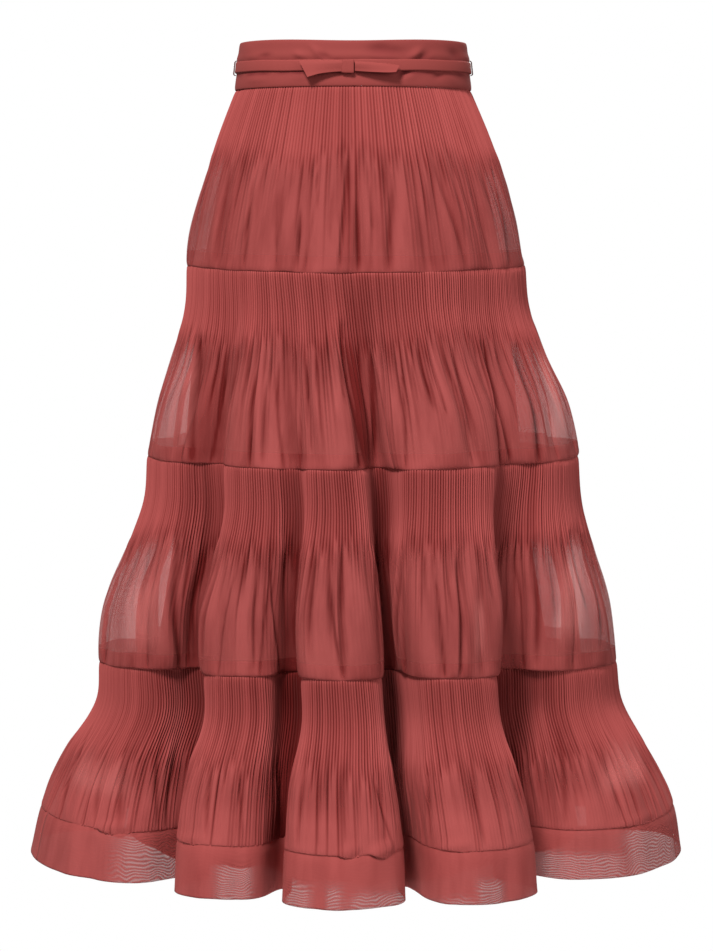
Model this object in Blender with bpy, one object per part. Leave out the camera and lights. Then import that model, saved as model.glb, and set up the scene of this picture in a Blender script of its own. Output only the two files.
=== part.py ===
"""A pleated midi skirt in four tiers: waistband, slim tied belt, pleated tiers, a smooth hem band, a
plain lining and a concealed zip at the centre back.

Units are metres. +Z is up, the front faces -Y and the origin is the middle of the waist, half way up
the waistband, where the wearer holds the skirt. Angles are measured in plan from the front centre and
grow towards +X.
"""

from collections import namedtuple
from math import atan2, cos, hypot, pi, radians, sin

import bmesh
import bpy
from mathutils import Vector

# ---------------------------------------------------------------- driving sizes

SEAM_GAP = 0.0003
BAND_HEIGHT = 0.046
BAND_WALL = 0.0020
BAND_TOP = (0.1180, 0.0930)
BAND_FOOT = (0.1230, 0.0980)
CLOTH_WALL = 0.0012
PLEAT_EASES_FROM = 0.35
PLEAT_EASES_OVER = 0.50
HEM_BAND_SHARE = 0.24
BELT_WIDTH = 0.0122
BELT_THICK = 0.0016
BELT_STAND_OFF = 0.0005
BELT_DROP = 0.0030
BELT_JOIN = 88

# BAND_TOP and BAND_FOOT are the waistband's half width and half depth at its two edges. The pleats ease
# from one share of a tier's height over the next; the belt's two lengths meet at BELT_JOIN degrees.

# Each tier hangs from the seam above it. A pleat's depth is pressed at the top of its tier and eases
# towards the seam below; front_drop is how far the lower seam dips at the front centre.
Tier = namedtuple("Tier", "name height front_drop pleat_pressed pleat_open")
TIERS = (
    Tier("tier1", 0.1803, 0.008, 0.0012, 0.0007),
    Tier("tier2", 0.1983, 0.003, 0.0020, 0.0010),
    Tier("tier3", 0.2151, -0.011, 0.0022, 0.0011),
    Tier("tier4", 0.1935, 0.009, 0.0024, 0.0012),
)

# The reach of the cloth at a few heights of each tier, as half an outline in plan, and how far it sways
# to the right. `pinch` draws the mouths of the folds together and `wall` makes their sides steep: with
# both at 0 the cloth runs in an even wave.
Section = namedtuple("Section", "tier share half_width half_depth sway pinch wall")
SECTIONS = (
    Section(0, 0.00, 0.1215, 0.0965, 0.000, 0.30, 0.0),
    Section(0, 0.30, 0.1430, 0.1135, 0.001, 0.30, 0.0),
    Section(0, 0.65, 0.1625, 0.1335, 0.002, 0.40, 0.0),
    Section(0, 1.00, 0.1755, 0.1500, 0.003, 0.40, 0.1),
    Section(1, 0.00, 0.1755, 0.1500, 0.003, 0.40, 0.1),
    Section(1, 0.20, 0.1780, 0.1530, 0.004, 0.40, 0.2),
    Section(1, 0.45, 0.1915, 0.1660, 0.006, 0.50, 0.3),
    Section(1, 0.72, 0.2110, 0.1880, 0.009, 0.70, 0.4),
    Section(1, 1.00, 0.2240, 0.2040, 0.010, 0.70, 0.5),
    Section(2, 0.00, 0.2240, 0.2040, 0.010, 0.60, 0.6),
    Section(2, 0.20, 0.2270, 0.2070, 0.010, 0.60, 0.7),
    Section(2, 0.45, 0.2420, 0.2200, 0.007, 0.75, 0.8),
    Section(2, 0.72, 0.2620, 0.2400, 0.005, 0.90, 0.8),
    Section(2, 1.00, 0.2700, 0.2520, 0.005, 0.80, 0.9),
    Section(3, 0.00, 0.2700, 0.2520, 0.005, 0.65, 0.9),
    Section(3, 0.20, 0.2740, 0.2560, 0.006, 0.60, 1.0),
    Section(3, 0.45, 0.3010, 0.2790, 0.004, 0.85, 0.9),
    Section(3, 0.76, 0.3310, 0.3000, 0.004, 1.05, 0.8),
    Section(3, 1.00, 0.3410, 0.3060, 0.002, 1.05, 0.8),
)

# The deep folds, in order round the skirt: plan angle and depth at the three seams between the tiers
# and at the hem. Above the first seam the folds run straight up and fade out at the waist.
Fold = namedtuple("Fold", "name angles depths")
FOLDS = (
    Fold("left_side", (-104, -104, -104, -104), (0.004, 0.018, 0.045, 0.080)),
    Fold("left_front", (-50, -49, -45, -42), (0.003, 0.026, 0.062, 0.100)),
    Fold("left_centre", (-28, -21, -18, -18), (0.002, 0.014, 0.054, 0.088)),
    Fold("right_centre", (-1, 5, 10, 13.5), (0.004, 0.044, 0.080, 0.100)),
    Fold("right_front", (50, 48, 41, 43), (0.002, 0.018, 0.060, 0.112)),
    Fold("right_side", (104, 104, 104, 104), (0.004, 0.018, 0.045, 0.080)),
    Fold("right_back", (135, 134, 133, 133), (0.003, 0.022, 0.056, 0.090)),
    Fold("right_centre_back", (160, 163, 166, 165), (0.003, 0.016, 0.052, 0.085)),
    Fold("left_centre_back", (200, 197, 194, 195), (0.003, 0.024, 0.060, 0.095)),
    Fold("left_back", (228, 226, 225, 227), (0.003, 0.020, 0.052, 0.085)),
)

# The lobe of cloth that follows each fold: how far its crest stands out from the plain outline at the
# hem, how many degrees the crest leans aside there, and how many pleats the lobe takes up.
Lobe = namedtuple("Lobe", "reach lean pleats")
LOBES = (
    Lobe(0.004, 0, 7),
    Lobe(-0.012, 0, 5),
    Lobe(0.002, 0, 5),
    Lobe(0.002, -5, 5),
    Lobe(0.004, 2, 7),
    Lobe(-0.004, 2, 4),
    Lobe(0.000, -2, 4),
    Lobe(-0.008, 0, 4),
    Lobe(0.002, 3, 4),
    Lobe(-0.006, -2, 4),
)
LEFT_SIDE_SEAM = 0.5
RIGHT_SIDE_SEAM = 4.5
CENTRE_BACK = 7.5

# The plain lining hangs inside the tiers, clear of the floors of the folds.
LiningRing = namedtuple("LiningRing", "height half_width half_depth front_drop")
LINING = (
    LiningRing(-0.0235, 0.1186, 0.0912, 0.000),
    LiningRing(-0.2030, 0.1570, 0.1240, 0.000),
    LiningRing(-0.4500, 0.1850, 0.1430, 0.000),
    LiningRing(-0.8000, 0.2450, 0.1650, 0.012),
)
LINING_COLUMNS = 18

ZIP_TAPE_WIDTH = 0.022
ZIP_TAPE_THICK = 0.0008
ZIP_TAPE_CURL = 0.0008
ZIP_TAPE_RISES = (0.95, 0.12)
SLIDER_WIDTH = 0.0056
SLIDER_HEIGHT = 0.0080
SLIDER_THICK = 0.0020
BARREL_RADIUS = 0.0010
TAB_WIDTH = 0.0042
TAB_LENGTH = 0.0115
TAB_THICK = 0.0009
SLIDER_BELOW_EDGE = 0.0010
PIVOT_BELOW_TOP = 0.0035
EAR_ROOT = 0.0010
EAR_HEIGHT = 0.0024

LOOP_RADIUS = 0.0007
LOOP_REACH = 0.0095
LOOP_SLACK = 0.0004
LOOP_SQUARENESS = 1.7
LOOP_STEPS = 10

CLOTH_COLOUR = (0.390, 0.078, 0.070, 1.0)
LINING_COLOUR = (0.330, 0.060, 0.055, 1.0)
METAL_COLOUR = (0.330, 0.110, 0.100, 1.0)

# ---------------------------------------------------------------- plan and profile of the cloth


def mix(a, b, share):
    return a + (b - a) * share


def tier_top(index):
    """Height of the seam that tier `index` hangs from."""
    return -BAND_HEIGHT / 2 - sum(tier.height for tier in TIERS[:index])


def section_at(index, share):
    """The row of SECTIONS from half_width on, for tier `index` at this share of its height."""
    rows = [row for row in SECTIONS if row.tier == index]
    for above, below in zip(rows, rows[1:]):
        if share <= below.share:
            t = (share - above.share) / (below.share - above.share)
            return [mix(a, b, t) for a, b in zip(above[2:], below[2:])]
    return list(rows[-1][2:])


def fold_at(number, index, share):
    """Plan angle and depth of one fold, in radians and metres."""
    fold = FOLDS[number % len(FOLDS)]
    turn = 360 * (number // len(FOLDS))
    eased = share * share * (3 - 2 * share)
    above = index - 1 if index else 0
    angle = mix(fold.angles[above], fold.angles[index], share) + turn
    depth = mix(fold.depths[above] if index else 0.0, fold.depths[index], eased)
    return radians(angle), depth


def plain_outline(angle, half_width, half_depth):
    """Reach of the ellipse that the crests of the folds touch."""
    return 1 / hypot(sin(angle) / half_width, cos(angle) / half_depth)


def cloth_in_plan(u, index, share):
    """Where the cloth runs in plan. `u` counts lobes: a whole number is the floor of a fold."""
    number = int(u // 1)
    phase = u - number
    lobe = LOBES[number % len(LOBES)]
    level = (index + share) / len(TIERS)
    half_width, half_depth, sway, pinch, wall = section_at(index, share)
    folds = fold_at(number, index, share), fold_at(number + 1, index, share)
    middle = (folds[0][0] + folds[1][0]) / 2 + radians(lobe.lean) * level
    floor, depth = folds[phase >= 0.5]
    climb = pi * min(phase, 1 - phase) * 2
    swing = climb - pinch * sin(climb) + wall * sin(2 * climb) / 2
    angle = floor + (middle - floor) * swing / pi
    crest = (1 - cos(climb)) / 2
    stand = lobe.reach * level * crest - depth * (1 - crest)
    radius = plain_outline(angle, half_width, half_depth) + stand
    return Vector((radius * sin(angle) + sway, -radius * cos(angle)))


def outward(u, index, share, step=0.004):
    """The level direction that points out of the cloth."""
    along = cloth_in_plan(u + step, index, share) - cloth_in_plan(u - step, index, share)
    return Vector((along.y, -along.x)).normalized()


def cloth_point(u, index, share, out=0.0):
    """A point `out` metres outside the cloth of one tier."""
    plan = cloth_in_plan(u, index, share) + outward(u, index, share) * out
    frontness = max(0.0, cos(atan2(plan.x, -plan.y)))
    above = TIERS[index - 1].front_drop if index else 0.0
    dip = mix(above, TIERS[index].front_drop, share) * frontness
    height = tier_top(index) - TIERS[index].height * share - dip
    return Vector((plan.x, plan.y, height))


def pleat_depth(index, share):
    tier = TIERS[index]
    eased = min(max((share - PLEAT_EASES_FROM) / PLEAT_EASES_OVER, 0.0), 1.0)
    return mix(tier.pleat_pressed, tier.pleat_open, eased)


def band_point(angle, rise, out=0.0):
    """A point on the waistband's outer face, `rise` from 0 at its lower edge to 1 at its top."""
    half_width, half_depth = (mix(foot, top, rise) + out for foot, top in zip(BAND_FOOT, BAND_TOP))
    radius = plain_outline(angle, half_width, half_depth)
    return Vector((radius * sin(angle), -radius * cos(angle), BAND_HEIGHT * (rise - 0.5)))


# ---------------------------------------------------------------- making pieces


def clear_scene():
    for obj in list(bpy.data.objects):
        bpy.data.objects.remove(obj, do_unlink=True)


def new_collection(name):
    collection = bpy.data.collections.new(name)
    bpy.context.scene.collection.children.link(collection)
    return collection


def finish(name, mesh, colour, roughness, metallic=0.0):
    """Puts a mesh in the skirt's collection as a named object with its own material."""
    material = bpy.data.materials.new(name)
    material.use_nodes = True
    surface = material.node_tree.nodes["Principled BSDF"]
    surface.inputs["Base Color"].default_value = colour
    surface.inputs["Roughness"].default_value = roughness
    surface.inputs["Metallic"].default_value = metallic
    mesh.materials.append(material)
    mesh.set_sharp_from_angle(angle=radians(18))
    obj = bpy.data.objects.new(name, mesh)
    SKIRT.objects.link(obj)
    return obj


def slab(name, columns, rows, place, colour=CLOTH_COLOUR, roughness=0.85):
    """A flat sheet of cloth with two faces, cut as a grid and then put in place.

    `place(column, row, outer)` gives the point of each grid corner: columns run round the skirt, row 0
    is the top, and outer is 1 on the outer face and 0 on the inner one.
    """
    bm = bmesh.new()
    bmesh.ops.create_grid(bm, x_segments=columns, y_segments=rows, size=0.5)
    lifted = bmesh.ops.extrude_face_region(bm, geom=list(bm.faces), use_keep_orig=True)
    for vert in lifted["geom"]:
        if isinstance(vert, bmesh.types.BMVert):
            vert.co.z = 1.0
    for vert in bm.verts:
        column = round((vert.co.x + 0.5) * columns)
        row = round((0.5 - vert.co.y) * rows)
        vert.co = place(column, row, round(vert.co.z))
    bmesh.ops.recalc_face_normals(bm, faces=list(bm.faces))
    if bm.calc_volume(signed=True) < 0:
        bmesh.ops.reverse_faces(bm, faces=list(bm.faces))
    mesh = bpy.data.meshes.new(name)
    bm.to_mesh(mesh)
    bm.free()
    return finish(name, mesh, colour, roughness)


# ---------------------------------------------------------------- pleated tiers and hem band


def pleat_lines(start, end):
    """Where the ridges and furrows of the pleats lie between two places round the skirt."""
    lines = [start]
    while lines[-1] < end - 1e-6:
        lobe = LOBES[int(lines[-1] + 1e-6) % len(LOBES)]
        lines.append(lines[-1] + 0.5 / lobe.pleats)
    return lines


def cloth_panel(name, index, start, end, shares, pleated=True):
    """One cut piece of a tier, from `start` to `end` round the skirt, with a row at each share."""
    lines = pleat_lines(start, end)
    last_row = len(shares) - 1

    def place(column, row, outer):
        share = shares[row]
        inset = SEAM_GAP / 2
        out = -CLOTH_WALL * (1 - outer)
        if pleated and 0 < column < len(lines) - 1:
            out += pleat_depth(index, share) * (1 if column % 2 else -1)
        point = cloth_point(lines[column], index, share, out)
        if row == 0:
            point.z -= inset
        if row == last_row:
            point.z += inset
        if column in (0, len(lines) - 1):
            away = outward(lines[column], index, share)
            along = Vector((-away.y, away.x, 0))
            point += along * (inset if column == 0 else -inset)
        return point

    return slab(name, len(lines) - 1, last_row, place)


def make_tiers():
    seams = {"front": (LEFT_SIDE_SEAM, RIGHT_SIDE_SEAM)}
    split_back = {
        "back_right": (RIGHT_SIDE_SEAM, CENTRE_BACK),
        "back_left": (CENTRE_BACK, LEFT_SIDE_SEAM + len(LOBES)),
    }
    whole_back = {"back": (RIGHT_SIDE_SEAM, LEFT_SIDE_SEAM + len(LOBES))}
    hem_top = 1 - HEM_BAND_SHARE
    for index, tier in enumerate(TIERS):
        shares = [row.share for row in SECTIONS if row.tier == index]
        if index == len(TIERS) - 1:
            shares = [share for share in shares if share < hem_top] + [hem_top]
        for place, (start, end) in {**seams, **(whole_back if index else split_back)}.items():
            cloth_panel(f"{tier.name}_{place}", index, start, end, shares)
    for place, (start, end) in {**seams, **whole_back}.items():
        cloth_panel(f"hem_band_{place}", len(TIERS) - 1, start, end, [hem_top, 1.0], pleated=False)


def make_lining():
    """A front and a back of plain cloth, smooth from the waist to just above the hem."""
    columns = LINING_COLUMNS
    for name, first in (("lining_front", -90), ("lining_back", 90)):

        def place(column, row, outer, first=first):
            ring = LINING[row]
            angle = radians(first + 180 * column / columns)
            inset = CLOTH_WALL * (1 - outer)
            radius = plain_outline(angle, ring.half_width - inset, ring.half_depth - inset)
            edge = {0: 1, columns: -1}.get(column, 0) * SEAM_GAP / 2
            across = radius * sin(angle) + edge * cos(angle)
            height = ring.height - ring.front_drop * max(0.0, cos(angle))
            return Vector((across, edge * sin(angle) - radius * cos(angle), height))

        slab(name, columns, len(LINING) - 1, place, LINING_COLOUR)


# ---------------------------------------------------------------- waistband, belt and bow


def arc_slab(name, first, last, columns, rises, out, thick):
    """A strip round the waist between two angles in degrees; `out` is how far it stands off the band."""

    def place(column, row, outer):
        angle = radians(mix(first, last, column / columns))
        point = band_point(angle, rises[row], out + thick * (outer - 1))
        edge = {0: 1, columns: -1}.get(column, 0)
        return point + Vector((cos(angle), sin(angle), 0)) * edge * SEAM_GAP / 2

    return slab(name, columns, len(rises) - 1, place)


def belt_rise(drop):
    """How far up the waistband a point `drop` below its middle lies."""
    return 0.5 - drop / BAND_HEIGHT


def make_waist():
    band = (1.0, SEAM_GAP / 2 / BAND_HEIGHT)
    arc_slab("waistband_front", -90, 90, 28, band, 0.0, BAND_WALL)
    arc_slab("waistband_back_right", 90, 180, 14, band, 0.0, BAND_WALL)
    arc_slab("waistband_back_left", 180, 270, 14, band, 0.0, BAND_WALL)
    belt = [belt_rise(BELT_DROP + side * BELT_WIDTH / 2) for side in (-1, 1)]
    belt_out = BELT_STAND_OFF + BELT_THICK
    arc_slab("belt_front", -BELT_JOIN, BELT_JOIN, 24, belt, belt_out, BELT_THICK)
    arc_slab("belt_back", BELT_JOIN, 360 - BELT_JOIN, 24, belt, belt_out, BELT_THICK)


# A wing of the bow at its knot end and at its free end: place across, and upper and lower edges.
WingEnd = namedtuple("WingEnd", "across_top across_bottom top bottom thick")
BOW_WINGS = {
    "bow_left": (
        WingEnd(-0.0120, -0.0120, 0.0010, -0.0082, 0.0024),
        WingEnd(-0.0330, -0.0330, 0.0018, -0.0108, 0.0042),
        WingEnd(-0.0545, -0.0455, 0.0020, -0.0138, 0.0022),
    ),
    "bow_right": (
        WingEnd(0.0018, 0.0018, 0.0006, -0.0082, 0.0024),
        WingEnd(0.0240, 0.0240, -0.0004, -0.0100, 0.0040),
        WingEnd(0.0460, 0.0455, -0.0020, -0.0104, 0.0022),
    ),
}
KNOT = {
    "left": -0.0117,
    "right": 0.0015,
    "top": 0.0035,
    "bottom": -0.0104,
    "thin": 0.0032,
    "thick": 0.0072,
}


def bow_front(across):
    """Depth of the belt's outer face in front of this place, at its lower edge, plus the resting gap."""
    angle = atan2(across, BAND_FOOT[1])
    rise = belt_rise(BELT_DROP + BELT_WIDTH / 2)
    return band_point(angle, rise, BELT_STAND_OFF + BELT_THICK + SEAM_GAP).y


def make_bow():
    per_end = 4
    knot_cells = 4
    for name, ends in BOW_WINGS.items():

        def place(column, row, outer, ends=ends):
            number = min(column // per_end, len(ends) - 2)
            t = column / per_end - number
            end = WingEnd(*[mix(a, b, t) for a, b in zip(ends[number], ends[number + 1])])
            across = end.across_bottom if row else end.across_top
            depth = bow_front(across) - end.thick * outer
            return Vector((across, depth, end.bottom if row else end.top))

        slab(name, per_end * (len(ends) - 1), 1, place)

    def place_knot(column, row, outer):
        across = mix(KNOT["left"], KNOT["right"], column / knot_cells)
        bulge = sin(pi * column / knot_cells) * sin(pi * row / knot_cells)
        depth = bow_front(across) - outer * mix(KNOT["thin"], KNOT["thick"], bulge)
        return Vector((across, depth, mix(KNOT["top"], KNOT["bottom"], row / knot_cells)))

    slab("bow_knot", knot_cells, knot_cells, place_knot)


def make_belt_loops():
    """A thread loop on each side seam, sewn to the band above and below the belt."""
    off_band = SEAM_GAP + LOOP_RADIUS
    off_belt = BELT_STAND_OFF + BELT_THICK + SEAM_GAP + LOOP_RADIUS + LOOP_SLACK
    for name, angle in (("belt_loop_left", -90), ("belt_loop_right", 90)):
        curve = bpy.data.curves.new(name, "CURVE")
        curve.dimensions = "3D"
        curve.bevel_depth = LOOP_RADIUS
        curve.bevel_resolution = 1
        curve.use_fill_caps = True
        spline = curve.splines.new("POLY")
        spline.points.add(LOOP_STEPS)
        for step, point in enumerate(spline.points):
            swing = pi * step / LOOP_STEPS
            out = mix(off_band, off_belt, min(1.0, LOOP_SQUARENESS * sin(swing)))
            rise = belt_rise(BELT_DROP - LOOP_REACH * cos(swing))
            point.co = (*band_point(radians(angle), rise, out), 1.0)
        guide = bpy.data.objects.new(name + "_thread", curve)
        SKIRT.objects.link(guide)
        graph = bpy.context.evaluated_depsgraph_get()
        mesh = bpy.data.meshes.new_from_object(guide.evaluated_get(graph))
        bpy.data.objects.remove(guide, do_unlink=True)
        bm = bmesh.new()
        bm.from_mesh(mesh)
        bmesh.ops.remove_doubles(bm, verts=list(bm.verts), dist=0.00001)
        bm.to_mesh(mesh)
        bm.free()
        finish(name, mesh, CLOTH_COLOUR, 0.9)


# ---------------------------------------------------------------- concealed zip at the centre back


def metal_box(name, centre, size):
    """A small metal block, `size` long on each side."""
    bm = bmesh.new()
    bmesh.ops.create_cube(bm, size=1.0)
    for vert in bm.verts:
        vert.co = Vector(centre) + Vector([c * s for c, s in zip(vert.co, size)])
    return metal_piece(name, bm)


def metal_piece(name, bm):
    mesh = bpy.data.meshes.new(name)
    bm.to_mesh(mesh)
    bm.free()
    return finish(name, mesh, METAL_COLOUR, 0.4, 0.9)


def make_zip_tape():
    """The closed tape inside the centre-back seam, from the band to below the hip."""
    band_inside = -BAND_WALL - SEAM_GAP - ZIP_TAPE_THICK
    cloth_inside = -CLOTH_WALL - TIERS[0].pleat_pressed - 2 * SEAM_GAP - ZIP_TAPE_THICK
    shares = [row.share for row in SECTIONS if row.tier == 0 and row.share < 1]
    line = [band_point(pi, rise, band_inside) for rise in ZIP_TAPE_RISES]
    line += [cloth_point(CENTRE_BACK, 0, share, cloth_inside) for share in shares]

    def place(column, row, outer):
        across = mix(ZIP_TAPE_WIDTH / 2, -ZIP_TAPE_WIDTH / 2, column / 2)
        curl = ZIP_TAPE_CURL * (column != 1)
        depth = line[row].y - curl + ZIP_TAPE_THICK * outer
        return Vector((across, depth, line[row].z))

    slab("zip_tape", 2, len(line) - 1, place)


def make_zip_slider():
    """The slider at the top of the closed zip, and its pull tab on a barrel between two ears."""
    top = BAND_HEIGHT / 2 - SLIDER_BELOW_EDGE
    foot_rise = (top - SLIDER_HEIGHT) / BAND_HEIGHT + 0.5
    back = band_point(pi, foot_rise, SEAM_GAP).y
    face = back + SLIDER_THICK
    slider = metal_box(
        "zip_slider",
        (0, back + SLIDER_THICK / 2, top - SLIDER_HEIGHT / 2),
        (SLIDER_WIDTH, SLIDER_THICK, SLIDER_HEIGHT),
    )
    pivot = Vector((0, face + BARREL_RADIUS + SEAM_GAP, top - PIVOT_BELOW_TOP))
    ear_width = (SLIDER_WIDTH - TAB_WIDTH) / 2 - SEAM_GAP
    ear_depth = 2 * BARREL_RADIUS + EAR_ROOT
    for side in (-1, 1):
        across = side * (SLIDER_WIDTH - ear_width) / 2
        centre = (across, face - EAR_ROOT / 2 + ear_depth / 2, pivot.z)
        union(slider, metal_box(f"ear_{side}", centre, (ear_width, ear_depth, EAR_HEIGHT)))

    tab_centre = (0, pivot.y, pivot.z - TAB_LENGTH / 2)
    tab = metal_box("zip_pull", tab_centre, (TAB_WIDTH, TAB_THICK, TAB_LENGTH))
    bm = bmesh.new()
    bmesh.ops.create_cone(
        bm,
        cap_ends=True,
        segments=12,
        radius1=BARREL_RADIUS,
        radius2=BARREL_RADIUS,
        depth=TAB_WIDTH,
    )
    for vert in bm.verts:
        vert.co = Vector((vert.co.z, vert.co.x, vert.co.y)) + pivot
    union(tab, metal_piece("barrel", bm))


def union(target, other):
    """Joins `other` to `target` and removes it from the skirt."""
    modifier = target.modifiers.new("join", "BOOLEAN")
    modifier.operation = "UNION"
    modifier.object = other
    graph = bpy.context.evaluated_depsgraph_get()
    mesh = bpy.data.meshes.new_from_object(target.evaluated_get(graph))
    target.modifiers.clear()
    target.data = mesh
    bpy.data.objects.remove(other, do_unlink=True)


clear_scene()
SKIRT = new_collection("pleated_midi_skirt")
make_waist()
make_tiers()
make_lining()
make_bow()
make_belt_loops()
make_zip_tape()
make_zip_slider()
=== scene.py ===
"""The looks of a pleated midi skirt: sheer pleated tiers, a smooth hem band, a lining, a waistband with a
slim tied belt, and a concealed zip at the centre back.

Units are metres, +Z is up and the front faces -Y. The origin is the middle of the waist. A place round
the skirt is a number of lobes: a whole number is the floor of a fold, and a half is the crest after it.
A share is how far down its own tier a row of cloth lies, from 0 at the upper seam to 1 at the foot.
"""

from collections import namedtuple
from math import cos, pi, radians, sin

import bmesh
import bpy
import numpy as np
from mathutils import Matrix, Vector


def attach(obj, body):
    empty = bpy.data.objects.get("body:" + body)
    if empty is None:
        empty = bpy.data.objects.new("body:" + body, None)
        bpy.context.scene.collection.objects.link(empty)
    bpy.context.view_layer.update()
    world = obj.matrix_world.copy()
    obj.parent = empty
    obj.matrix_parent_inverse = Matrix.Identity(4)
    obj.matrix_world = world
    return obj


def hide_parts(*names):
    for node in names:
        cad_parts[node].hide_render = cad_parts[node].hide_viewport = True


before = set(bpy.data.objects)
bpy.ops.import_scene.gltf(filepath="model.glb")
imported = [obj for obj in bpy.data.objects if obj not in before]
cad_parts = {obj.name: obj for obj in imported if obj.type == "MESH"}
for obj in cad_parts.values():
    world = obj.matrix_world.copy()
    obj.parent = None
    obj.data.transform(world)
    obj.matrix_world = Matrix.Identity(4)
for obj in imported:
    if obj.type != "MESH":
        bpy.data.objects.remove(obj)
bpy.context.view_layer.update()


def rows_of(kind, *rows):
    """A short table, whose rows take the names of their columns from one kind of tuple."""
    return tuple(kind(*row) for row in rows)


# ---------------------------------------------------------------- sizes of the skirt

BAND_HEIGHT = 0.046
BAND_WALL = 0.0020
BAND_TOP = (0.1180, 0.0930)
BAND_FOOT = (0.1230, 0.0980)
HEM_BAND_SHARE = 0.24
BELT_WIDTH = 0.0114
BELT_THICK = 0.0016
BELT_STAND_OFF = 0.0005
BELT_DROP = 0.0022
BELT_JOIN = 88
CLOTH_THICK = 0.0004
DOUBLE_THICK = 0.0008
DOUBLED_FOOT = 0.0160
SEAM_GAP = 0.0003

# `pitch` is the width of a pressed pleat and `zigzag` half its depth. The pleats stay pressed down to
# `pressed_to`, a share of the tier's height, and open over the next `eases_over`. The lower half of the
# tier is as dense as `open_closed` where it opens and as `foot_closed` at its foot; 1 is fully pressed.
# `contrast` scales its painted shade and `tone` deepens the whole tier's colour evenly; `folds` is
# how dark the painted shade in its furrows is.
Tier = namedtuple(
    "Tier",
    "name height front_drop pitch zigzag pressed_to eases_over open_closed foot_closed"
    " contrast tone folds",
)
TIERS = rows_of(
    Tier,
    ("tier1", 0.1803, 0.008, 0.0032, 0.00080, 0.34, 0.30, 0.25, 0.25, 0.80, 0.12, 0.46),
    ("tier2", 0.1983, 0.003, 0.0027, 0.00090, 0.32, 0.26, 0.0, 0.0, 1.12, 0.0, 0.65),
    ("tier3", 0.2151, -0.011, 0.0027, 0.00095, 0.34, 0.24, 0.0, 0.0, 1.0, 0.0, 0.65),
    ("tier4", 0.1935, 0.009, 0.0027, 0.00095, 0.37, 0.26, 0.45, 0.8, 1.10, 0.0, 0.40),
)

# The pleats open into soft folds of three widths, which come and go down the tier. Each set of folds
# spans a few pleats, stands out by `out`, starts and is full at two shares of the tier's height, and
# fades away between two more.
FoldSet = namedtuple("FoldSet", "tier least_pleats most_pleats out starts full fades gone")
FOLD_SETS = rows_of(
    FoldSet,
    (0, 2, 3, 0.0012, 0.34, 0.44, 0.46, 0.74),
    (0, 4, 7, 0.0024, 0.40, 0.58, 0.66, 1.00),
    (0, 9, 16, 0.0042, 0.48, 0.84, 0.96, 1.40),
    (1, 2, 3, 0.0015, 0.30, 0.40, 0.42, 0.68),
    (1, 4, 7, 0.0030, 0.34, 0.50, 0.56, 0.94),
    (1, 10, 20, 0.0056, 0.42, 0.76, 0.94, 1.40),
    (2, 2, 3, 0.0015, 0.30, 0.40, 0.42, 0.60),
    (2, 4, 7, 0.0028, 0.34, 0.46, 0.48, 0.76),
    (2, 11, 22, 0.0056, 0.42, 0.70, 0.94, 1.40),
    (3, 2, 3, 0.0012, 0.30, 0.42, 0.48, 0.68),
    (3, 3, 6, 0.0018, 0.33, 0.46, 0.52, 0.80),
    (3, 9, 20, 0.0036, 0.38, 0.56, 0.58, 0.84),
)

# The plain outline of each tier at a few shares of its height, from its number down to half its width and
# depth and how far it sways across. `pinch` narrows the folds between lobes, and `wall` steepens them.
Section = namedtuple("Section", "tier share half_width half_depth sway pinch wall")
SECTIONS = rows_of(
    Section,
    (0, 0.00, 0.1215, 0.0965, 0.000, 0.30, 0.0),
    (0, 0.30, 0.1430, 0.1135, 0.001, 0.30, 0.0),
    (0, 0.65, 0.1625, 0.1335, 0.002, 0.40, 0.0),
    (0, 1.00, 0.1755, 0.1500, 0.003, 0.40, 0.1),
    (1, 0.00, 0.1755, 0.1500, 0.003, 0.40, 0.1),
    (1, 0.20, 0.1780, 0.1530, 0.004, 0.40, 0.2),
    (1, 0.45, 0.1915, 0.1660, 0.006, 0.50, 0.3),
    (1, 0.72, 0.2110, 0.1880, 0.009, 0.70, 0.4),
    (1, 1.00, 0.2240, 0.2040, 0.010, 0.70, 0.5),
    (2, 0.00, 0.2240, 0.2040, 0.010, 0.60, 0.6),
    (2, 0.20, 0.2270, 0.2070, 0.010, 0.60, 0.7),
    (2, 0.45, 0.2420, 0.2200, 0.007, 0.75, 0.8),
    (2, 0.72, 0.2620, 0.2400, 0.005, 0.90, 0.8),
    (2, 1.00, 0.2700, 0.2520, 0.005, 0.80, 0.9),
    (3, 0.00, 0.2700, 0.2520, 0.005, 0.65, 0.9),
    (3, 0.20, 0.2740, 0.2560, 0.006, 0.60, 1.0),
    (3, 0.45, 0.3010, 0.2790, 0.004, 0.85, 0.9),
    (3, 0.76, 0.3310, 0.3000, 0.004, 1.05, 0.8),
    (3, 1.00, 0.3410, 0.3060, 0.002, 1.05, 0.8),
)

# The folds between lobes: the plan angle of each floor at the foot of each tier, in degrees from the
# front, how deep it lies there in metres, and how dark the painted shade on its floor is.
Fold = namedtuple("Fold", "name angles depths shade")
FOLDS = rows_of(
    Fold,
    ("left_side", (-104, -104, -104, -104), (0.004, 0.018, 0.045, 0.080), 0.45),
    ("left_front", (-50, -49, -45, -42), (0.003, 0.026, 0.062, 0.100), 0.45),
    ("left_centre", (-28, -21, -18, -18), (0.002, 0.014, 0.054, 0.088), 1.30),
    ("right_centre", (-1, 5, 10, 13.5), (0.004, 0.044, 0.080, 0.100), 0.15),
    ("right_front", (50, 48, 41, 43), (0.002, 0.018, 0.060, 0.112), 0.45),
    ("right_side", (104, 104, 104, 104), (0.004, 0.018, 0.045, 0.080), 0.45),
    ("right_back", (135, 134, 133, 133), (0.003, 0.022, 0.056, 0.090), 0.45),
    ("right_centre_back", (160, 163, 166, 165), (0.003, 0.016, 0.052, 0.085), 0.45),
    ("left_centre_back", (200, 197, 194, 195), (0.003, 0.024, 0.060, 0.095), 0.45),
    ("left_back", (228, 226, 225, 227), (0.003, 0.020, 0.052, 0.085), 0.45),
)

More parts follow.
